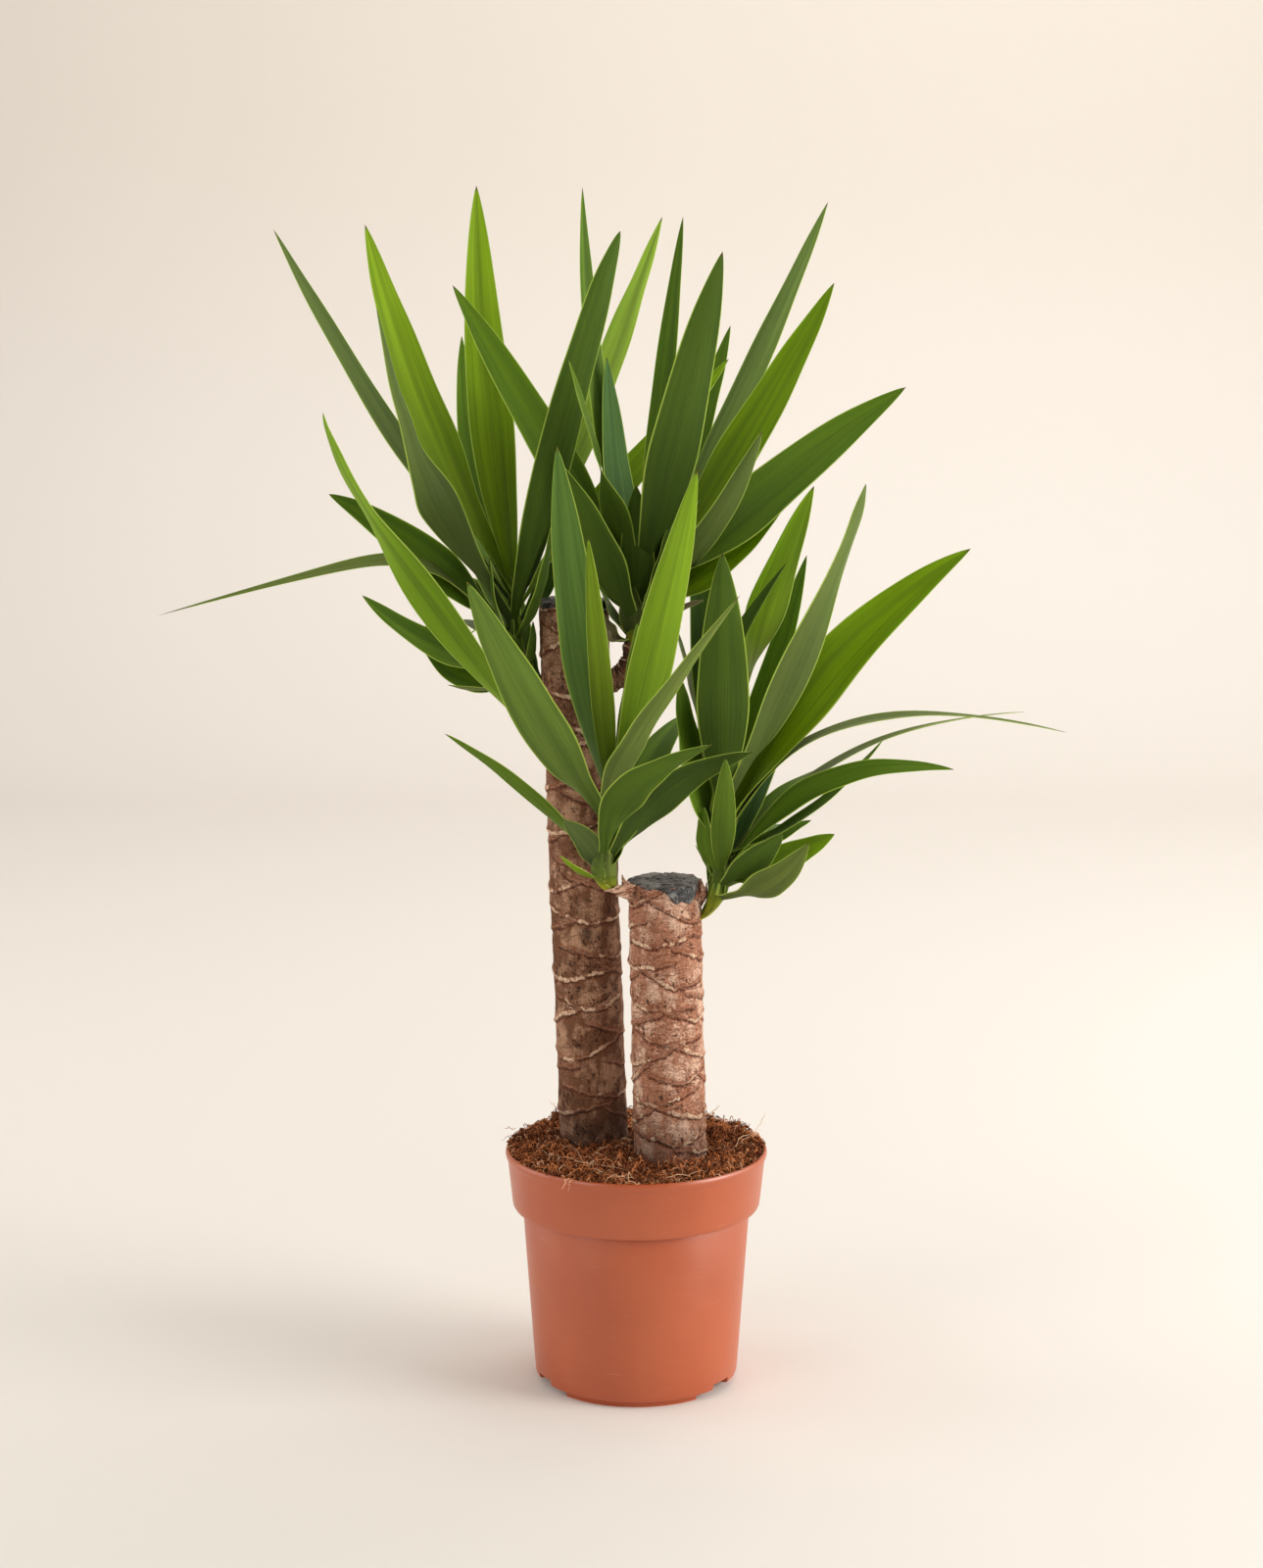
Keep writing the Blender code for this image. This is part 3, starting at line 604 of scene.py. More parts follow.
def bark_relief(cane, angle, height, pitch, half_width, seed, stained):
    """How far the bark stands out in mm, and what its finish needs to know at each point.

    line is the height over the nearest scar and seam the way to the nearest crack in
    it, both in mm. pale and stain say how much of each there is.
    """
    rng = random.Random(seed)
    spots = round_places(angle, cane.radius, height)
    wander = 1.7 * noise_at(spots, 0.08, 3, seed) + 0.9 * noise_at(spots, 0.33, 2, seed + 5)
    fine = noise_at(spots * (1, 1, 0.35), 0.35, 3, seed + 1)
    out = 0.9 * noise_at(spots, 0.035, 2, seed + 2) + 0.30 * fine
    line = np.full(len(angle), FAR_OFF)
    seam = np.full(len(angle), FAR_OFF)
    pale = np.zeros(len(angle))
    stain = np.zeros(len(angle))
    first = cane.first_scar - 3 * pitch
    for number in range(int((cane.top[2] - first + 30) / pitch)):
        level = first + pitch * number + rng.uniform(-0.3, 0.3) * pitch
        half = math.radians(half_width * rng.uniform(0.7, 1.2))
        lean = rng.uniform(-6, 6)
        rise = rng.uniform(0.6, 1.1) * half_width / 5.5
        strength = rng.uniform(0.45, 1.15)
        turn = GOLDEN_ANGLE * number + math.radians(rng.uniform(-14, 14))
        off = (angle - turn + math.pi) % (2 * math.pi) - math.pi
        arm = off / half
        droop = level + rise * (np.sqrt(arm**2 + 0.03) - 0.2) + lean * arm + wander
        inside = smooth((1.0 - np.abs(arm)) / 0.25)
        above = height - droop
        over = (above > 0) * inside
        ridge = np.exp(-((above / 2.1) ** 2)) * inside * strength
        far = np.abs(above) + 9 * (1 - smooth((1.75 - np.abs(arm)) / 0.35))
        nearer = far < np.abs(line)
        line = np.where(nearer, np.where(above < 0, -far, far), line)
        blocks = off * cane.radius / rng.uniform(5.5, 8) + 0.6 * wander + 40
        block = blocks.astype(int)
        block_tones = np.array([rng.random() for _ in range(SCAR_BLOCKS)])
        shown = block_tones[block % SCAR_BLOCKS] * strength * 1.15
        pale = np.where(nearer, shown * inside, pale)
        crack = np.minimum(blocks - block, 1 - (blocks - block)) * 6.5
        seam = np.where((above > 0) & (above < 1.4 * pitch) & (inside > 0.5), crack, seam)
        out += 1.15 * ridge * (0.6 + 0.5 * shown) + 0.5 * np.exp(-np.clip(above, 0, 40) / 6) * over
        out -= 0.65 * np.exp(-(((above + 3.0) / 1.3) ** 2)) * inside
        out -= 0.25 * np.exp(-((crack / 0.5) ** 2)) * (above < pitch) * over
        depth = rng.random() ** 1.3 * stained
        drop = np.exp(-((off / 0.42) ** 2) - ((above + 9) / 8) ** 2)
        stain = np.maximum(stain, depth * drop)
    return out, {"line": line, "seam": seam, "pale": pale, "stain": stain}


def mark_bark(piece, marks):
    for name, values in marks.items():
        add_attribute(piece, name, values)


def tall_rows(piece, rows):
    """Cuts the upright edges of a primitive cylinder into rows, a factor at a time."""

    def upright(edge):
        low, high = (piece.data.vertices[i].co.z for i in edge.vertices)
        return abs(high - low) > 1e-6

    for factor in rows:
        pick(piece, "EDGE", upright)
        bpy.ops.mesh.subdivide(number_cuts=factor - 1)
        go_to("OBJECT")


def unit_cylinder(name, sides, rows):
    bpy.ops.mesh.primitive_cylinder_add(vertices=sides, radius=1, depth=2)
    piece = bpy.context.object
    piece.name = name
    tall_rows(piece, rows)
    return piece


def read_cylinder(piece):
    """At each point of a unit cylinder: its angle, its reach and its share of the height."""
    x, y, z = points_of(piece).T
    return np.arctan2(y, x), np.hypot(x, y), (z + 1) / 2


def add_cane(name, cane, sides, rows, pitch, half_width, seed, stained):
    piece = unit_cylinder(name, sides, rows)
    angle, _, share = read_cylinder(piece)
    # below the soil, where nothing shows, the rows are far apart
    height = np.interp(share, (0, UNDER_SOIL_ROWS, 1), (CANE_FOOT, UNDER_SOIL, cane.top[2]))
    out, marks = bark_relief(cane, angle, height, pitch, half_width, seed, stained)
    near_top = smooth((height - cane.top[2] + 8) / 8)
    swell = SWELL * smooth((SWELL_TOP - height) / SWELL_RUN)
    radius = cane.radius + out * (1 - 0.7 * near_top) + swell
    torn = noise_at(round_places(angle, 28), 0.2, 3, seed + 9)
    height = height + near_top * (cane.slant * np.sin(angle) + 1.5 * torn)
    wrap_cane(piece, cane, angle, radius, height)
    mark_bark(piece, marks)
    smooth_under(60)
    return piece


def bark_finish(name, ash, brown, rust, net):
    """Ash-grey cork over brown, rust-red beside the scars, pale blocks along them, and a painted
    shadow under each.
    """
    bark = Finish(name, Specular_IOR_Level=0.22)
    line, seam, pale, stain = map(bark.painted, ("line", "seam", "pale", "stain"))
    patches = bark.grain(bark.place(1, 1, 0.8), 34, 4, 0.6)
    clouds = bark.grain(bark.place(1, 1, 0.6), 110, 4, 0.6)
    streaks = bark.grain(bark.place(1, 1, 0.14), 620, 4, 0.7)
    fibrous = bark.grain(bark.place(1, 1, 2.2), 190, 4, 0.65, 0.8)
    flecks = bark.grain(bark.place(), 520, 3, 0.7)
    ragged = line + 4.0 * (flecks - 0.5) + 3.0 * (clouds - 0.5)
    shown = (pale + 0.8 * (clouds - 0.5)).ramp(0.25, 0.60)
    ridge = 1 - (abs(ragged) - 0.9 * shown).ramp(0.6, 1.2)
    fringe = 1 - abs(ragged + 0.8).ramp(1.5, 5.0)
    split = (1 - abs(seam + 1.3 * (flecks - 0.5)).ramp(0.25, 0.85)) * clouds.ramp(0.36, 0.52)
    threads = (1 - abs(fibrous - 0.5).ramp(0.0, 0.046)) * patches.ramp(0.30, 0.52)
    damp = (stain * (2.4 * clouds - 0.4)).ramp(0.12, 0.75)
    # painted shadow: a dark band in the groove just under each scar's ridge
    shadow_under_scar = (1 - abs(ragged + 2.4).ramp(0.3, 1.2)) * flecks.ramp(0.38, 0.52)
    tone = bark.layer(ash, brown, (0.55 * patches + 0.45 * clouds).ramp(0.42, 0.56))
    tone = bark.shade(tone, streaks.ramp(0.30, 0.70, 0.80, 1.18))
    fresh = (0.5 * flecks + 0.5 * streaks).ramp(0.38, 0.56)
    cork = bark.layer((0.44, 0.205, 0.110), (0.86, 0.60, 0.42), fresh)
    tone = bark.coats(
        tone,
        ((0.034, 0.024, 0.020), 0.85 * damp),
        (rust, 0.9 * fringe * fibrous.ramp(0.36, 0.54)),
        (bark.shade(rust, 0.55), net * threads),
        ((0.045, 0.016, 0.009), 0.8 * split),
        # the painted shadow under each scar's ridge
        ((0.060, 0.019, 0.010), 0.8 * shadow_under_scar),
        (rust, 0.8 * ridge),
        (cork, ridge * (0.20 + 0.80 * shown) * (1 - 0.8 * split)),
    )
    near_soil = (bark.height() + 0.03 * patches).ramp(0.205, 0.270, 0.44, 1.0)
    bumps = bark.relief(streaks, 1.0 * MM)
    bumps = bark.relief(fibrous, 1.6 * MM, bumps)
    bumps = bark.relief(ridge - split - 0.6 * shadow_under_scar, 1.3 * MM, bumps)
    bumps = bark.relief(flecks, 0.8 * MM, bumps)
    tone = bark.shade(tone, near_soil)
    bark.show(Base_Color=tone, Roughness=0.78 + 0.16 * patches, Normal=bumps)
    return bark


tall_bark = add_cane("tall_cane_bark", TALL_CANE, 170, (20, 18), 14.0, 90, 21, 1)
grey_bark = bark_finish(
    "grey_brown_bark", (0.50, 0.280, 0.170), (0.190, 0.084, 0.042), (0.26, 0.084, 0.036), 0.9)


def curve_at(path, share):
    """Points on the quadratic curve through three handles."""
    first, middle, last = (np.array(point, float) for point in path)
    share = np.asarray(share, float)[:, None]
    rest = 1 - share
    return rest * rest * first + 2 * share * rest * middle + share * share * last


def bend_along(piece, path, girth):
    """Bends a unit cylinder along a path, with a radius for each point."""
    angle, reach, share = read_cylinder(piece)
    before, after = np.clip(share - 0.01, 0, 1), np.clip(share + 0.01, 0, 1)
    along = unit(curve_at(path, after) - curve_at(path, before))
    across = unit(np.cross(along, (0, 1, 0)))
    beside = np.cross(along, across)
    radius = (girth(share, angle) * reach)[:, None]
    turned_out = np.cos(angle)[:, None] * across + np.sin(angle)[:, None] * beside
    move_points(piece, curve_at(path, share) + radius * turned_out)
    return share, angle


SHOOT_PATH = ((-27.0, 13.5, 565.0), (-1.0, 2.0, 566.0), (-1.0, 0.0, 598.0))
SHOOT_RADIUS = 9.2


def shoot_rings(share, angle):
    """Old leaf scars round the shoot, crowded and askew, 1 on a ridge."""
    askew = 1.9 * np.sin(angle + share * 11) + 1.2 * np.sin(2 * angle - share * 23)
    return np.sin(share * 44 + askew)


def shoot_girth(share, angle):
    lumps = noise_at(round_places(angle, 9, share * 60), 0.2, 3, 8)
    return SHOOT_RADIUS + 0.7 * shoot_rings(share, angle) + 1.3 * lumps


shoot = unit_cylinder("shoot", 60, (60,))
share, angle = bend_along(shoot, SHOOT_PATH, shoot_girth)
mark_bark(shoot, {
    "line": 5 * (1 - shoot_rings(share, angle)), "seam": 4 + 3 * np.sin(angle * 7),
    "pale": 0.25 + 0.3 * np.sin(angle * 5 + share * 31),
    "stain": 0.55 + 0.3 * np.sin(angle * 2 + 1),
})
bpy.ops.object.shade_smooth()
join_to(tall_bark, [shoot])
put_on(tall_bark, grey_bark, "grey_bark", "tall_cane")

short_bark = add_cane("short_cane_bark", SHORT_CANE, 180, (15, 14), 6.0, 54, 34, 0)
# Splinters of torn bark round the short cane's top: path, width and thickness in mm.
FLAKES = (
    (((-1, -38, 408), (-14, -47, 410), (-25, -50, 409)), 4.0, 2.6),
    (((-2, -36, 407), (-10, -42, 412), (-11, -40, 420)), 3.0, 2.0),
    (((-3, -40, 402), (-9, -46, 406), (-16, -50, 405)), 3.0, 2.2),
    (((48, -30, 398), (54, -34, 405), (50, -34, 416)), 3.2, 1.8),
    (((49, -24, 394), (55, -28, 400), (55, -26, 411)), 2.6, 1.6),
)


def add_flake(path, wide, thick, seed):
    """A tapering splinter, joined to the short cane's bark."""
    flake = unit_cylinder("flake", 20, (24,))

    def girth(share, angle):
        ragged = noise_at(round_places(angle, 4, share * 20), 0.35, 3, seed)
        oval = 1 / np.sqrt((np.cos(angle) / wide) ** 2 + (np.sin(angle) / thick) ** 2)
        return oval * (1 + 0.45 * ragged) * (1 - 0.85 * smooth((share - 0.35) / 0.65))

    share, angle = bend_along(flake, path, girth)
    mark_bark(flake, {
        "line": 6 * np.sin(angle * 2 + share * 9), "seam": 3 + 2 * np.sin(angle * 3),
        "pale": 0.4 + 0.3 * np.sin(share * 20), "stain": 0 * share,
    })
    bpy.ops.object.shade_smooth()
    join_to(short_bark, [flake])


for seed, (path, wide, thick) in enumerate(FLAKES, 1):
    add_flake(path, wide, thick, seed)
red_bark = bark_finish(
    "red_brown_bark", (0.80, 0.520, 0.370), (0.47, 0.215, 0.128), (0.32, 0.096, 0.044), 1.0)
put_on(short_bark, red_bark, "red_bark", "short_cane")


# ---------------------------------------------------------------- wax
# Black sealing wax, brushed over each sawn top while warm: a low uneven dome
# that laps over the bark's edge. On the short cane a run has gone down the front.
def tall_drip(angle):
    return 3.0 + 2.0 * np.cos(3 * angle + 1) + 0.9 * np.sin(7 * angle)


def short_drip(angle):
    off = (np.degrees(angle) + 57 + 180) % 360 - 180
    run = 12.5 * np.exp(-(np.abs(off / 27) ** 3.5)) * (1 + 0.12 * np.sin(off / 4.0))
    wavy = 0.8 * np.sin(4 * angle + 1) + 0.5 * np.sin(9 * angle + 2)
    return 0.9 + run + wavy + 2.5 * smooth(np.sin(angle))


def add_wax(name, cane, drip, seed):
    cap = unit_cylinder(name, 144, (15,))
    fill_with_rings(cap, lambda face: face.normal.z > 0.9, 24, 0.04)
    angle, reach, share = read_cylinder(cap)
    points = points_of(cap)
    rough = noise_at(points * (cane.radius, cane.radius, 6), 0.14, 4, seed)
    brushed = noise_at(points * (cane.radius, cane.radius, 0), 0.45, 3, seed + 1)
    edge = noise_at(round_places(angle, cane.radius), 0.16, 3, seed + 2)
    skirt = share < 0.999
    rim = cane.radius + 0.3 + 0.9 * edge
    belly = 1.3 * np.sin(math.pi * np.clip(share * 1.1, 0, 1)) * smooth(drip(angle) / 8)
    wide = np.where(skirt, rim + belly + 0.3 * rough * smooth(share / 0.2), reach * rim)
    wide = np.where(share < 0.001, cane.radius - 1.2, wide)
    dome = 1.9 * (1 - reach**5) + 0.9 * rough + 0.5 * brushed + cane.slant * reach * np.sin(angle)
    hang = 0.3 + 0.9 * rough - np.maximum(drip(angle) + 1.5 * edge, 0.4) * (1 - share)
    height = cane.top[2] + np.where(skirt, hang + cane.slant * np.sin(angle), dome)
    wrap_cane(cap, cane, angle, wide, height)
    smooth_under(70)
    return cap


wax = Finish("black_wax", Specular_IOR_Level=0.6)
brushed = wax.grain(wax.place(), 160, 4, 0.6, 0.4)
pits = wax.grain(wax.place(), 700, 3, 0.7)
bloom = wax.grain(wax.place(), 60, 3, 0.5)
greyed = (0.5 * bloom + 0.5 * brushed).ramp(0.50, 0.58)
black = wax.coats(
    (0.006, 0.006, 0.007), ((0.180, 0.168, 0.160), greyed),
    ((0.50, 0.44, 0.38), 0.85 * pits.ramp(0.58, 0.70)),
)
bumps = wax.relief(pits, 0.8 * MM, wax.relief(brushed, 2.4 * MM))
wax.show(Base_Color=black, Roughness=0.18 + 0.3 * brushed, Normal=bumps)
put_on(add_wax("tall_cane_wax_cap", TALL_CANE, tall_drip, 3), wax, "wax", "tall_cane_wax")
put_on(add_wax("short_cane_wax_cap", SHORT_CANE, short_drip, 4), wax, "wax", "short_cane_wax")


# ---------------------------------------------------------------- heads
# Four heads of leaves, each on its own green stem. A leaf is one flat strip,
# bent along its line, folded to a channel and drawn out to a dark point. It has
# fine upright veins, a thin pale margin, a pale foot and a duller underside.
# Leaf colours. Which tint a leaf gets is partly its own colour and partly painted light: leaves
# lit from behind get brighter tints, shaded ones darker.
LIME = (0.206, 0.316, 0.009)
FRESH = (0.168, 0.275, 0.002)
GREEN = (0.105, 0.185, 0.009)
DEEP = (0.062, 0.114, 0.008)
BLUE = (0.072, 0.150, 0.030)
OLIVE = (0.140, 0.182, 0.038)
DRY = (0.200, 0.150, 0.085)
SHEATH = (0.070, 0.085, 0.020)
SAGE = (0.150, 0.240, 0.035)
PALE = (0.300, 0.430, 0.050)
SEA = (0.145, 0.275, 0.050)
MOSS = (0.092, 0.128, 0.028)
DARK = (0.040, 0.074, 0.006)
YOLK = (0.420, 0.420, 0.012)
STEM = (0.075, 0.125, 0.014)

# A leaf: the way it leans (0 is +X, 90 is away from the viewer), its lean from
# upright, its length and its width, in degrees and mm. arch lifts its middle,
# roll turns its face, and sway carries the middle to its left. kink sharpens the
# bend, peak is where along the leaf it bends, seat is the foot's place up the
# stem where it isn't the usual one, and twist turns the face of the outer half.
Leaf = namedtuple(
    "Leaf", "turn lean length width arch roll sway kink peak seat tint twist",
    defaults=(0, 0, 0, 1, 0.5, None, GREEN, 0),
)
# A head: its CAD node, its stem's path and radius, the share of its girth that is
# left at the foot, its leaves, the small sheaths at their feet, and the fan of
# plain leaves behind: first and last turn, first and last lean, and how many.
Head = namedtuple("Head", "node stem radius foot leaves sheaths fan seed")

TALL_LEFT = Head(
    node="tall_left_head",
    stem=((-71, 17, 560), (-99, 13, 563), (-96, 15, 630)),
    radius=4.5,
    foot=0.7,
    leaves=(
        Leaf(106, 20, 344, 38, -3, 0, 5, tint=LIME),
        Leaf(154, 24, 318, 38, -10, -35, 2, tint=LIME),
        Leaf(-179, 32, 341, 24, -7, -40, tint=MOSS),
        Leaf(-133, 29, 286, 35, -6, 70, -17, kink=1.9, seat=0.8, tint=MOSS, twist=46),
        Leaf(109, 34, 254, 24, -6, 0, 8),
        Leaf(-38, 19, 321, 33, -1, -25, -8, kink=0.5, seat=0.82, tint=DEEP),
        Leaf(42, 27.5, 337, 34, -3, 10, -1, tint=PALE),
        Leaf(15, 43, 254, 30, -2, 45, seat=1, tint=LIME),
        Leaf(-178, 50, 187, 36, 10, -60),
        Leaf(-170, 78.5, 299, 22, 77, -30, -4, kink=4, peak=0.38, tint=OLIVE),
        Leaf(-173, 62.5, 144, 28, -10, -45, seat=0.3),
        Leaf(177, 71.5, 89, 24, -16, -40, 1, seat=0.25),
        Leaf(-159, 89, 69, 14, -5, 20, seat=0.2, tint=OLIVE),
        Leaf(-28, 27.5, 88, 11, -3, 0, 1, seat=0.9),
    ),
    sheaths=(
        Leaf(-150, 16, 95, 28, -8, -20, seat=0.45, tint=DEEP),
        Leaf(-52, 14, 42, 9, -4, seat=0.40, tint=DEEP),
        Leaf(-52, 26, 105, 15, -9, 20, seat=0.7, tint=DEEP),
        Leaf(40, 31, 92, 17, -8, 30, seat=0.8, tint=DEEP),
    ),
    fan=(100, 134, 52, 84, 6),
    seed=11,
)

TALL_RIGHT = Head(
    node="tall_right_head",
    stem=((-1, 0, 594), (0, 0, 607), (4, -1, 632)),
    radius=6.0,
    foot=1.0,
    leaves=(
        Leaf(-62, 25, 290, 42, 1, -10, -1, tint=DEEP),
        Leaf(61, 35, 260, 28, -1, 0, -1),
        Leaf(22, 27, 343, 27, -3, 30, -1, tint=(0.225, 0.315, 0.075)),
        Leaf(2, 31, 284, 38, -4, 60, tint=FRESH),
        Leaf(-14, 49, 272, 43, 8, 75, tint=GREEN),
        Leaf(-10, 51, 145, 32, -3, 65, tint=FRESH),
        Leaf(-43, 41, 185, 26, -10, -20, 3, tint=MOSS),
        Leaf(-141, 29, 155, 34, -2, 30, 5, seat=0.35, tint=DEEP),
        Leaf(127, 13, 190, 28, -4, 0, 3, tint=BLUE),
        Leaf(66, 15, 305, 20, 1, 0, 1),
        Leaf(128, 13, 325, 20, -9, 0, 6),
        Leaf(-136, 22, 200, 30, -1, 15, twist=-68),
        Leaf(158, 33, 290, 36, 1, -45),
        Leaf(-30, 64, 65, 14, 2, 35, tint=DRY),
    ),
    sheaths=(
        Leaf(-95, 12, 105, 28, -5, seat=0.7, tint=DEEP),
        Leaf(-160, 22, 95, 28, -8, 30, seat=0.5, tint=DEEP),
        Leaf(-30, 18, 95, 26, -5, seat=0.4, tint=DEEP),
        Leaf(-110, 10, 50, 22, -4, seat=0.1, tint=SHEATH),
        Leaf(178, 42, 42, 15, -7, 50, seat=0.05, tint=DRY, twist=60),
        Leaf(-150, 62, 34, 12, -8, 20, seat=0.2, tint=DRY, twist=-70),
        Leaf(150, 24, 85, 24, -10, 20, seat=0.1, tint=DEEP),
    ),
    fan=(60, 98, 60, 84, 6),
    seed=12,
)

SHORT_LEFT = Head(
    node="short_left_head",
    stem=((-6, -33, 409), (-37, -47, 401), (-18, -46, 466)),
    radius=8.5,
    foot=0.12,
    leaves=(
        Leaf(-102, 20.5, 238, 19, 8, 0, -2, tint=LIME),
        Leaf(-125, 13.5, 296, 38, 8, 15, -11, tint=SEA),
        Leaf(-46, 18, 285, 37, -1, -25, tint=(0.185, 0.310, 0.008)),
        Leaf(-135, 35.5, 247, 40, -9, 35, 4, tint=SAGE),
        Leaf(-167, 34, 385, 31, -16, 75, -1, peak=0.68, tint=(0.180, 0.320, 0.008), twist=-62),
        Leaf(-165, 48, 165, 16, 7, 40, seat=0.6),
        Leaf(-40, 33.5, 224, 30, 10, -10, -15, kink=1.6, peak=0.3, tint=OLIVE),
        Leaf(-52, 50, 168, 33, 14, -30, -19, kink=1.6, tint=(0.072, 0.135, 0.008)),
        Leaf(-24, 49, 160, 34, 18, -45, -1, seat=0.5, tint=DARK),
        Leaf(-5, 41, 70, 16, 10, 30, seat=0.5),
        Leaf(-140, 38, 74, 25, 6, 35, seat=0.30, tint=(0.098, 0.140, 0.040)),
        Leaf(-38, 8, 155, 24, -3, -10, 1),
    ),
    sheaths=(
        Leaf(-20, 35, 26, 12, -3, 20, seat=0.60, tint=DEEP),
        Leaf(-150, 58, 46, 8, -3, 30, seat=0.42, tint=LIME),
    ),
    fan=(62, 74, 56, 64, 2),
    seed=13,
)

SHORT_RIGHT = Head(
    node="short_right_head",
    stem=((47, -29, 383), (70, -33, 386), (66, -31, 468)),
    radius=6.5,
    foot=0.25,
    leaves=(
        Leaf(-89, 37, 135, 20, 0, 0, 1, seat=0.6),
        Leaf(-92, 12, 210, 42, 0, 0, 1, tint=DEEP),
        Leaf(101, 21, 255, 34, 1, 0, -1, tint=DEEP),
        Leaf(7, 14, 200, 24, 27, 40, 2, kink=2.0, tint=DEEP),
        # painted light: this leaf's tint is made brighter to stand for light coming through it
        # from behind
        Leaf(46, 23, 270, 50, 9, -60, 3, tint=(0.40, 0.53, 0.04), twist=60),
        Leaf(61, 36, 250, 26, -2, 0, -1),
        Leaf(-15, 23, 278, 38, -7, -55, 11, kink=0.6, peak=0.56, tint=MOSS, twist=42),
        Leaf(17, 42, 305, 46, 24, 50, 5, tint=FRESH),
        Leaf(2, 64, 305, 26, 82, 5, 9, peak=0.42, tint=OLIVE),
        Leaf(17, 62, 295, 24, 44, -5, 8, peak=0.45, tint=OLIVE),
        Leaf(-9, 60, 210, 26, 39, 40, 2),
        Leaf(7, 54, 155, 18, -11, 10, -1, seat=0.75),
        Leaf(23, 65, 85, 22, 3, 20, 1, seat=0.65),
        Leaf(-2, 63, 100, 30, -1, 50, seat=0.5, tint=LIME),
        Leaf(-35, 57, 100, 30, -11, -50, 1, kink=1.3, seat=0.4, tint=OLIVE),
        Leaf(-39, 49, 80, 28, -2, -40, seat=0.5, tint=DEEP),
        Leaf(161, 29, 35, 12, 0, 30, seat=0.55),
        Leaf(120, 26, 155, 24, 1, 40, -1, tint=OLIVE),
        Leaf(169, 12, 155, 32, -4, -30, seat=0.7),
    ),
    sheaths=(
        Leaf(-150, 12, 60, 20, -5, 20, seat=0.60, tint=GREEN),
    ),
    fan=(42, 84, 44, 76, 6),
    seed=14,
)


def mix(a, b, share):
    return a + (b - a) * share


def fan_leaves(head, rng):
    """The plain leaves that fill a head's far side."""
    first_turn, last_turn, first_lean, last_lean, count = head.fan
    leaves = []
    for i in range(count):
        turn = mix(first_turn, last_turn, (0.35 + i * 0.618) % 1)
        lean = mix(first_lean, last_lean, (i + 0.5) / count) + rng.uniform(-3, 3)
        length = mix(280, 150, float(smooth(lean / 90))) * rng.uniform(0.92, 1.05)
        width = rng.uniform(30, 40) * mix(1, 0.75, lean / 90)
        arch = mix(4, 26, lean / 90)
        tint = (GREEN, DEEP, BLUE)[i % 3]
        leaves.append(Leaf(turn, lean, length, width, arch, rng.uniform(-25, 25), tint=tint))
    return leaves


def seat_of(leaf):
    """Where up the stem a leaf's foot is: a flatter leaf sits lower."""
    return leaf.seat or 1 - 0.9 * float(smooth((leaf.lean - 25) / 60))


def leaf_sections(head, leaf, share):
    """Along a leaf: its middle, its side, its upper face and its half width, in mm."""
    turn, lean = math.radians(leaf.turn), math.radians(leaf.lean)
    out = np.array((math.cos(turn), math.sin(turn), 0))
    side = np.array((-math.sin(turn), math.cos(turn), 0))
    up = np.array((0, 0, 1.0))
    chord = math.sin(lean) * out + math.cos(lean) * up
    rise = math.sin(lean) * up - math.cos(lean) * out
    root = curve_at(head.stem, [seat_of(leaf)])[0] + 2 * out
    tip = root + leaf.length * chord
    middle = root + leaf.peak * leaf.length * chord + leaf.arch * rise + leaf.sway * side
    pull = leaf.kink
    handle = ((2 + 2 * pull) * middle - root - tip) / (2 * pull)

    def place(at):
        at = at[:, None]
        weights = (1 - at) ** 2, 2 * pull * at * (1 - at), at**2
        return (weights[0] * root + weights[1] * handle + weights[2] * tip) / sum(weights)

    after, before = np.clip(share + 0.002, 0, 1), np.clip(share - 0.002, 0, 1)
    along = unit(place(after) - place(before))
    across = unit(side - (along @ side)[:, None] * along)
    face = np.cross(along, across)
    roll = leaf.roll * smooth(share * 2) + leaf.twist * smooth((share - 0.3) / 0.35)
    roll = np.radians(roll)[:, None]
    waist = 0.06 * np.exp(-(((share - 0.07) / 0.04) ** 2))
    outline = 1.05 * (0.40 + 0.60 * smooth(share / 0.46) - waist)
    outline *= np.clip(1 - share**3.1, 0, 1) ** 0.84
    return (
        place(share), np.cos(roll) * across + np.sin(roll) * face,
        np.cos(roll) * face - np.sin(roll) * across, 0.5 * leaf.width * outline,
    )


bpy.ops.mesh.primitive_grid_add(x_subdivisions=12, y_subdivisions=50, size=1)
strip = bpy.context.object
strip.name = "strip"
thicken = strip.modifiers.new("thicken", "SOLIDIFY")
thicken.thickness = 0.02
thicken.offset = 0
bpy.ops.object.modifier_apply(modifier="thicken")
strip_points = points_of(strip)
SHEATH_SHARE = 0.10
LEAF_THICKNESS = 0.75
FOOT_FOLD = 50.0
BLADE_FOLD = 7.0


def sheath_ring(head, leaf, down, turn_by):
    """Places round the stem, down from a leaf's foot, in mm, and the way out from the stem."""
    turn = math.radians(leaf.turn)
    share = np.clip(seat_of(leaf) - 0.42 * down, 0.02, 1)
    around = round_places(turn + turn_by, 1)
    snug = mix(4.4, head.radius + 1.2, smooth((1 - share) / 0.5)) + 2.2 * leaf.lean / 90
    snug *= foot_taper(head, share)
    return curve_at(head.stem, share) + snug[:, None] * around, around, share


def foot_taper(head, share):
    """A stem and the sheaths round it draw in towards the bottom."""
    return mix(head.foot, 1, smooth((share - 0.08) / 0.55))


def low_down(share):
    """How yellow a foot is: only the bottom of a stem is."""
    return smooth((0.58 - share) / 0.3)


def add_tint(piece, tint, own, yellow):
    """A colour for each point, with the leaf's own number as its alpha."""
    layer = piece.data.attributes.new("tint", "FLOAT_COLOR", "POINT")
    colour = mix(np.array(tint), np.array(YOLK), yellow[:, None])
    colour = np.column_stack((colour, np.full(len(yellow), own)))
    layer.data.foreach_set("color", colour.astype(np.float32).ravel())


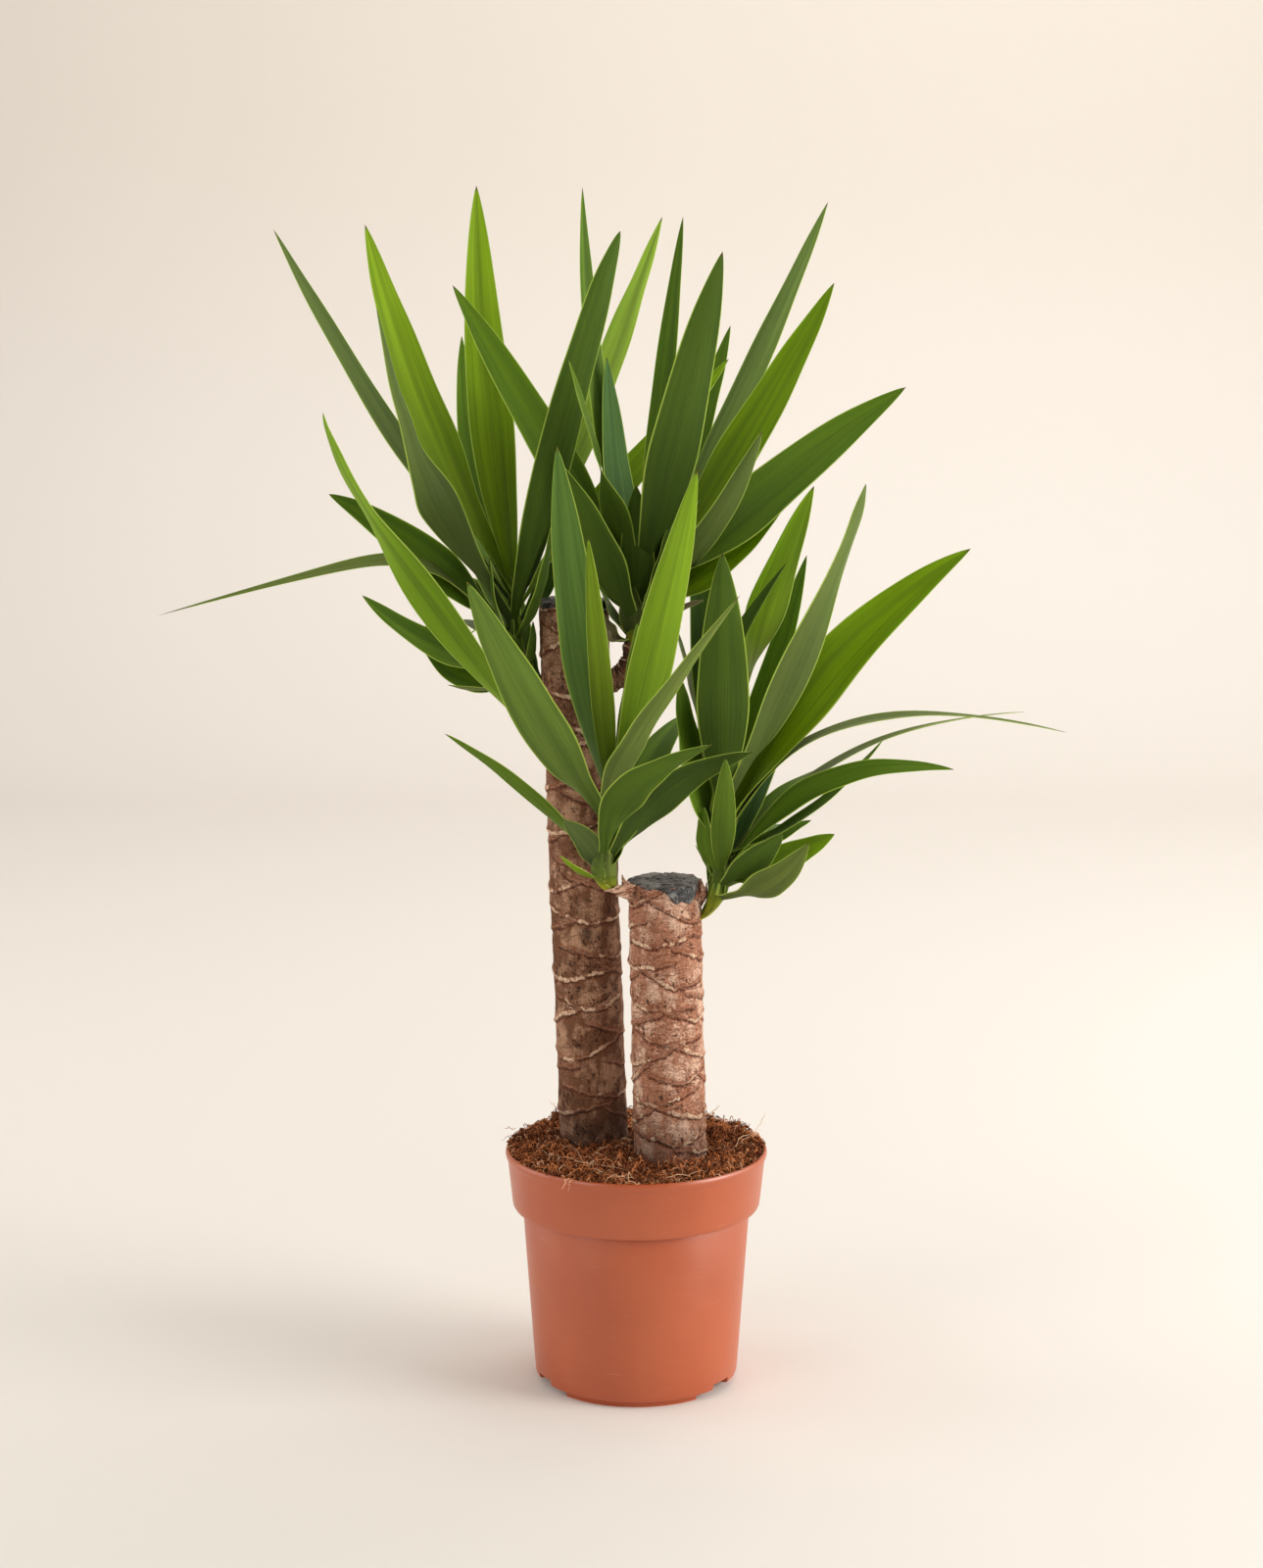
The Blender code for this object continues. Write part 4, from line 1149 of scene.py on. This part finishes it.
def add_leaf(head, leaf, rng):
    """A copy of the strip, bent to one leaf."""
    blade = strip.copy()
    blade.data = strip.data.copy()
    bpy.context.collection.objects.link(blade)
    u = strip_points[:, 0] * 2
    along = strip_points[:, 1] + 0.5
    v = np.clip((along - SHEATH_SHARE) / (1 - SHEATH_SHARE), 0, 1)
    down = np.clip(1 - along / SHEATH_SHARE, 0, 1)
    upper = np.sign(strip_points[:, 2])
    middle, side, face, half = leaf_sections(head, leaf, v)
    fold = np.radians(mix(FOOT_FOLD, BLADE_FOLD, smooth(v / 0.28)))
    channel = np.sin(fold) * np.abs(u) ** 1.4
    waves, right, left = rng.uniform(2, 4), rng.uniform(0, 6.3), rng.uniform(0, 6.3)
    ripple = np.sin(2 * math.pi * waves * v + np.where(u > 0, right, left))
    ripple *= 0.022 * leaf.width * u**2 * smooth(v / 0.3) * smooth((1 - v) / 0.2)
    thick = LEAF_THICKNESS * (1 - 0.3 * u**4) * mix(1.0, 0.65, v) * np.minimum(1, (1 - v) * 60)
    lift = half * channel + ripple + 0.5 * thick * upper
    points = middle + (half * np.cos(fold) * u)[:, None] * side + lift[:, None] * face
    ring, outward, on_stem = sheath_ring(head, leaf, down, u * mix(1.25, 0.8, down))
    ring -= (0.4 * thick * upper)[:, None] * outward
    points += smooth(down / 0.45)[:, None] * (ring - points)
    move_points(blade, points)
    tone = rng.uniform(0.9, 1.1)
    yellow = smooth(down / 0.4) * low_down(on_stem)
    add_tint(blade, tone * np.array(leaf.tint), rng.random(), yellow)
    add_attribute(blade, "under", upper < 0)
    return blade


def add_head(head):
    rng = random.Random(head.seed)
    leaves = [*head.leaves, *head.sheaths, *fan_leaves(head, rng)]
    blades = [add_leaf(head, leaf, rng) for leaf in leaves]
    stem = unit_cylinder(head.node + "_leaves", 32, (30,))

    def stem_girth(share, angle):
        nodes = 0.7 * np.exp(-((((share * 7) % 1) - 0.5) / 0.10) ** 2)
        girth = mix(head.radius + 1, 4.0, smooth((share - 0.4) / 0.6))
        return (girth + nodes * smooth(share / 0.2)) * foot_taper(head, share)

    share, angle = bend_along(stem, head.stem, stem_girth)
    add_tint(stem, STEM, 0.5, low_down(share))
    add_attribute(stem, "under", np.full(len(share), 0.3))
    stem.data.uv_layers[0].name = "UVMap"
    join_to(stem, blades)
    go_to("EDIT")
    bpy.ops.mesh.select_all(action="SELECT")
    bpy.ops.mesh.remove_doubles(threshold=0.005 * MM)
    bpy.ops.mesh.normals_make_consistent(inside=False)
    go_to("OBJECT")
    smooth_under(50)
    return stem


skin = Finish(
    "yucca_leaf", Specular_IOR_Level=0.10, Subsurface_Weight=0.6, Subsurface_Scale=1.0 * MM)
skin.shader.inputs["Subsurface Radius"].default_value = (1.0, 1.3, 0.35)
unrolled = skin.add("UVMap", {"uv_map": "UVMap"}, {})
across = skin.add("SeparateXYZ", {}, {0: unrolled})
along = across.twin(1)
tint = skin.painted("tint", "Color")
own = tint.twin("Alpha")
under = skin.painted("under")
edge = abs(2 * across - 1)
bands = skin.grain(skin.point(across * 3.0 + own * 40, along * 0.9, own * 9), 1.0, 4, 0.6)
veins = skin.grain(skin.point(across * 34 + own * 90, along * 1.6, own * 5), 1.0, 2)
cool = skin.layer(skin.shade(tint, 0.80), (0.020, 0.080, 0.016), 0.22)
blade = skin.layer(cool, skin.shade(tint, 1.18), bands.ramp(0.28, 0.70))
blade = skin.shade(blade, 0.70 + 0.60 * veins)
# darker towards the foot: partly a richer green, partly painted shade
blade = skin.shade(blade, along.ramp(0.05, 0.85, 0.70, 1.04))
# duller underneath, paler at the foot, a pale margin and a dark point
blade = skin.coats(
    blade,
    ((0.105, 0.145, 0.026), 0.18 * under),
    ((0.150, 0.205, 0.024), along.ramp(0.0, 0.10, 0.25, 0.0)),
    ((0.36, 0.46, 0.075), 0.85 * edge.ramp(0.930, 0.970)),
    ((0.060, 0.030, 0.014), along.ramp(0.982, 0.995)),
)
ribs = skin.relief(veins, 0.25 * MM, skin.relief(bands, 0.3 * MM))
skin.show(Base_Color=blade, Roughness=0.40 + 0.14 * veins + 0.12 * under, Normal=ribs)

for head in (TALL_LEFT, TALL_RIGHT, SHORT_LEFT, SHORT_RIGHT):
    put_on(add_head(head), skin, "leaf", head.node)
bpy.data.objects.remove(strip, do_unlink=True)


# ---------------------------------------------------------------- studio
# A plain cream sweep of paper, standing well back, with painted shade that makes it a little
# darker higher up.
# Soft light from all round: a broad lamp on the right, a weaker one on the left,
# one more at each side, one for the paper from above, and a warm white room.
SWEEP_HALF_WIDTH = 9
SWEEP_FRONT = -9
SWEEP_BACK = 2.8
SWEEP_BEND = 1.2
SWEEP_RISE = 4
bpy.ops.mesh.primitive_plane_add(size=2)
sweep = bpy.context.object
sweep.name = "paper_sweep"
for vertex in sweep.data.vertices:
    vertex.co.x *= SWEEP_HALF_WIDTH
    vertex.co.y = SWEEP_BACK if vertex.co.y > 0 else SWEEP_FRONT
pick(sweep, "EDGE", lambda edge: all(sweep.data.vertices[i].co.y > 0 for i in edge.vertices))
bpy.ops.mesh.spin(
    steps=24, angle=math.radians(-90), center=(0, SWEEP_BACK, SWEEP_BEND), axis=(1, 0, 0))
bpy.ops.mesh.extrude_edges_move(TRANSFORM_OT_translate={"value": (0, 0, SWEEP_RISE)})
go_to("OBJECT")
bpy.ops.object.shade_smooth()
paper = Finish("cream_paper", Roughness=0.95, Specular_IOR_Level=0.1)
# painted shade: the paper is made darker higher up, with a little mottling
shade_higher_up = 0.06 * paper.grain(paper.place(), 2.5, 3) + 0.94 * paper.height().ramp(0.25, 1.35)
paper.show(Base_Color=paper.layer((0.850, 0.806, 0.752), (0.775, 0.720, 0.655), shade_higher_up))
sweep.data.materials.append(paper.material)


def soft_lamp(name, place, size, power, colour, aim=(0, 0, 0.45)):
    bpy.ops.object.light_add(type="AREA", location=place)
    lamp = bpy.context.object
    lamp.name = name
    lamp.data.shape = "DISK"
    lamp.data.size = size
    lamp.data.energy = power
    lamp.data.color = colour
    lamp.rotation_euler = (Vector(aim) - Vector(place)).to_track_quat("-Z", "Y").to_euler()


soft_lamp("key", (2.9, -1.0, 1.25), 1.9, 79, (1.0, 0.985, 0.955))
soft_lamp("fill", (-2.3, -1.9, 1.3), 1.7, 18, (1.0, 0.97, 0.93))
soft_lamp("left_rim", (-2.7, 0.5, 0.95), 2.0, 21, (1.0, 0.96, 0.92))
soft_lamp("right_rim", (2.7, 0.5, 0.95), 2.0, 23, (1.0, 0.99, 0.965))
soft_lamp("paper_lamp", (1.2, 1.6, 3.2), 2.4, 42, (1.0, 0.97, 0.93), aim=(0.3, 4.0, 0.6))
world = bpy.data.worlds.new("room")
world.use_nodes = True
background = world.node_tree.nodes["Background"]
background.inputs["Color"].default_value = (1.0, 0.97, 0.935, 1)
background.inputs["Strength"].default_value = 0.52
bpy.context.scene.world = world
bpy.context.scene.view_settings.view_transform = "Standard"
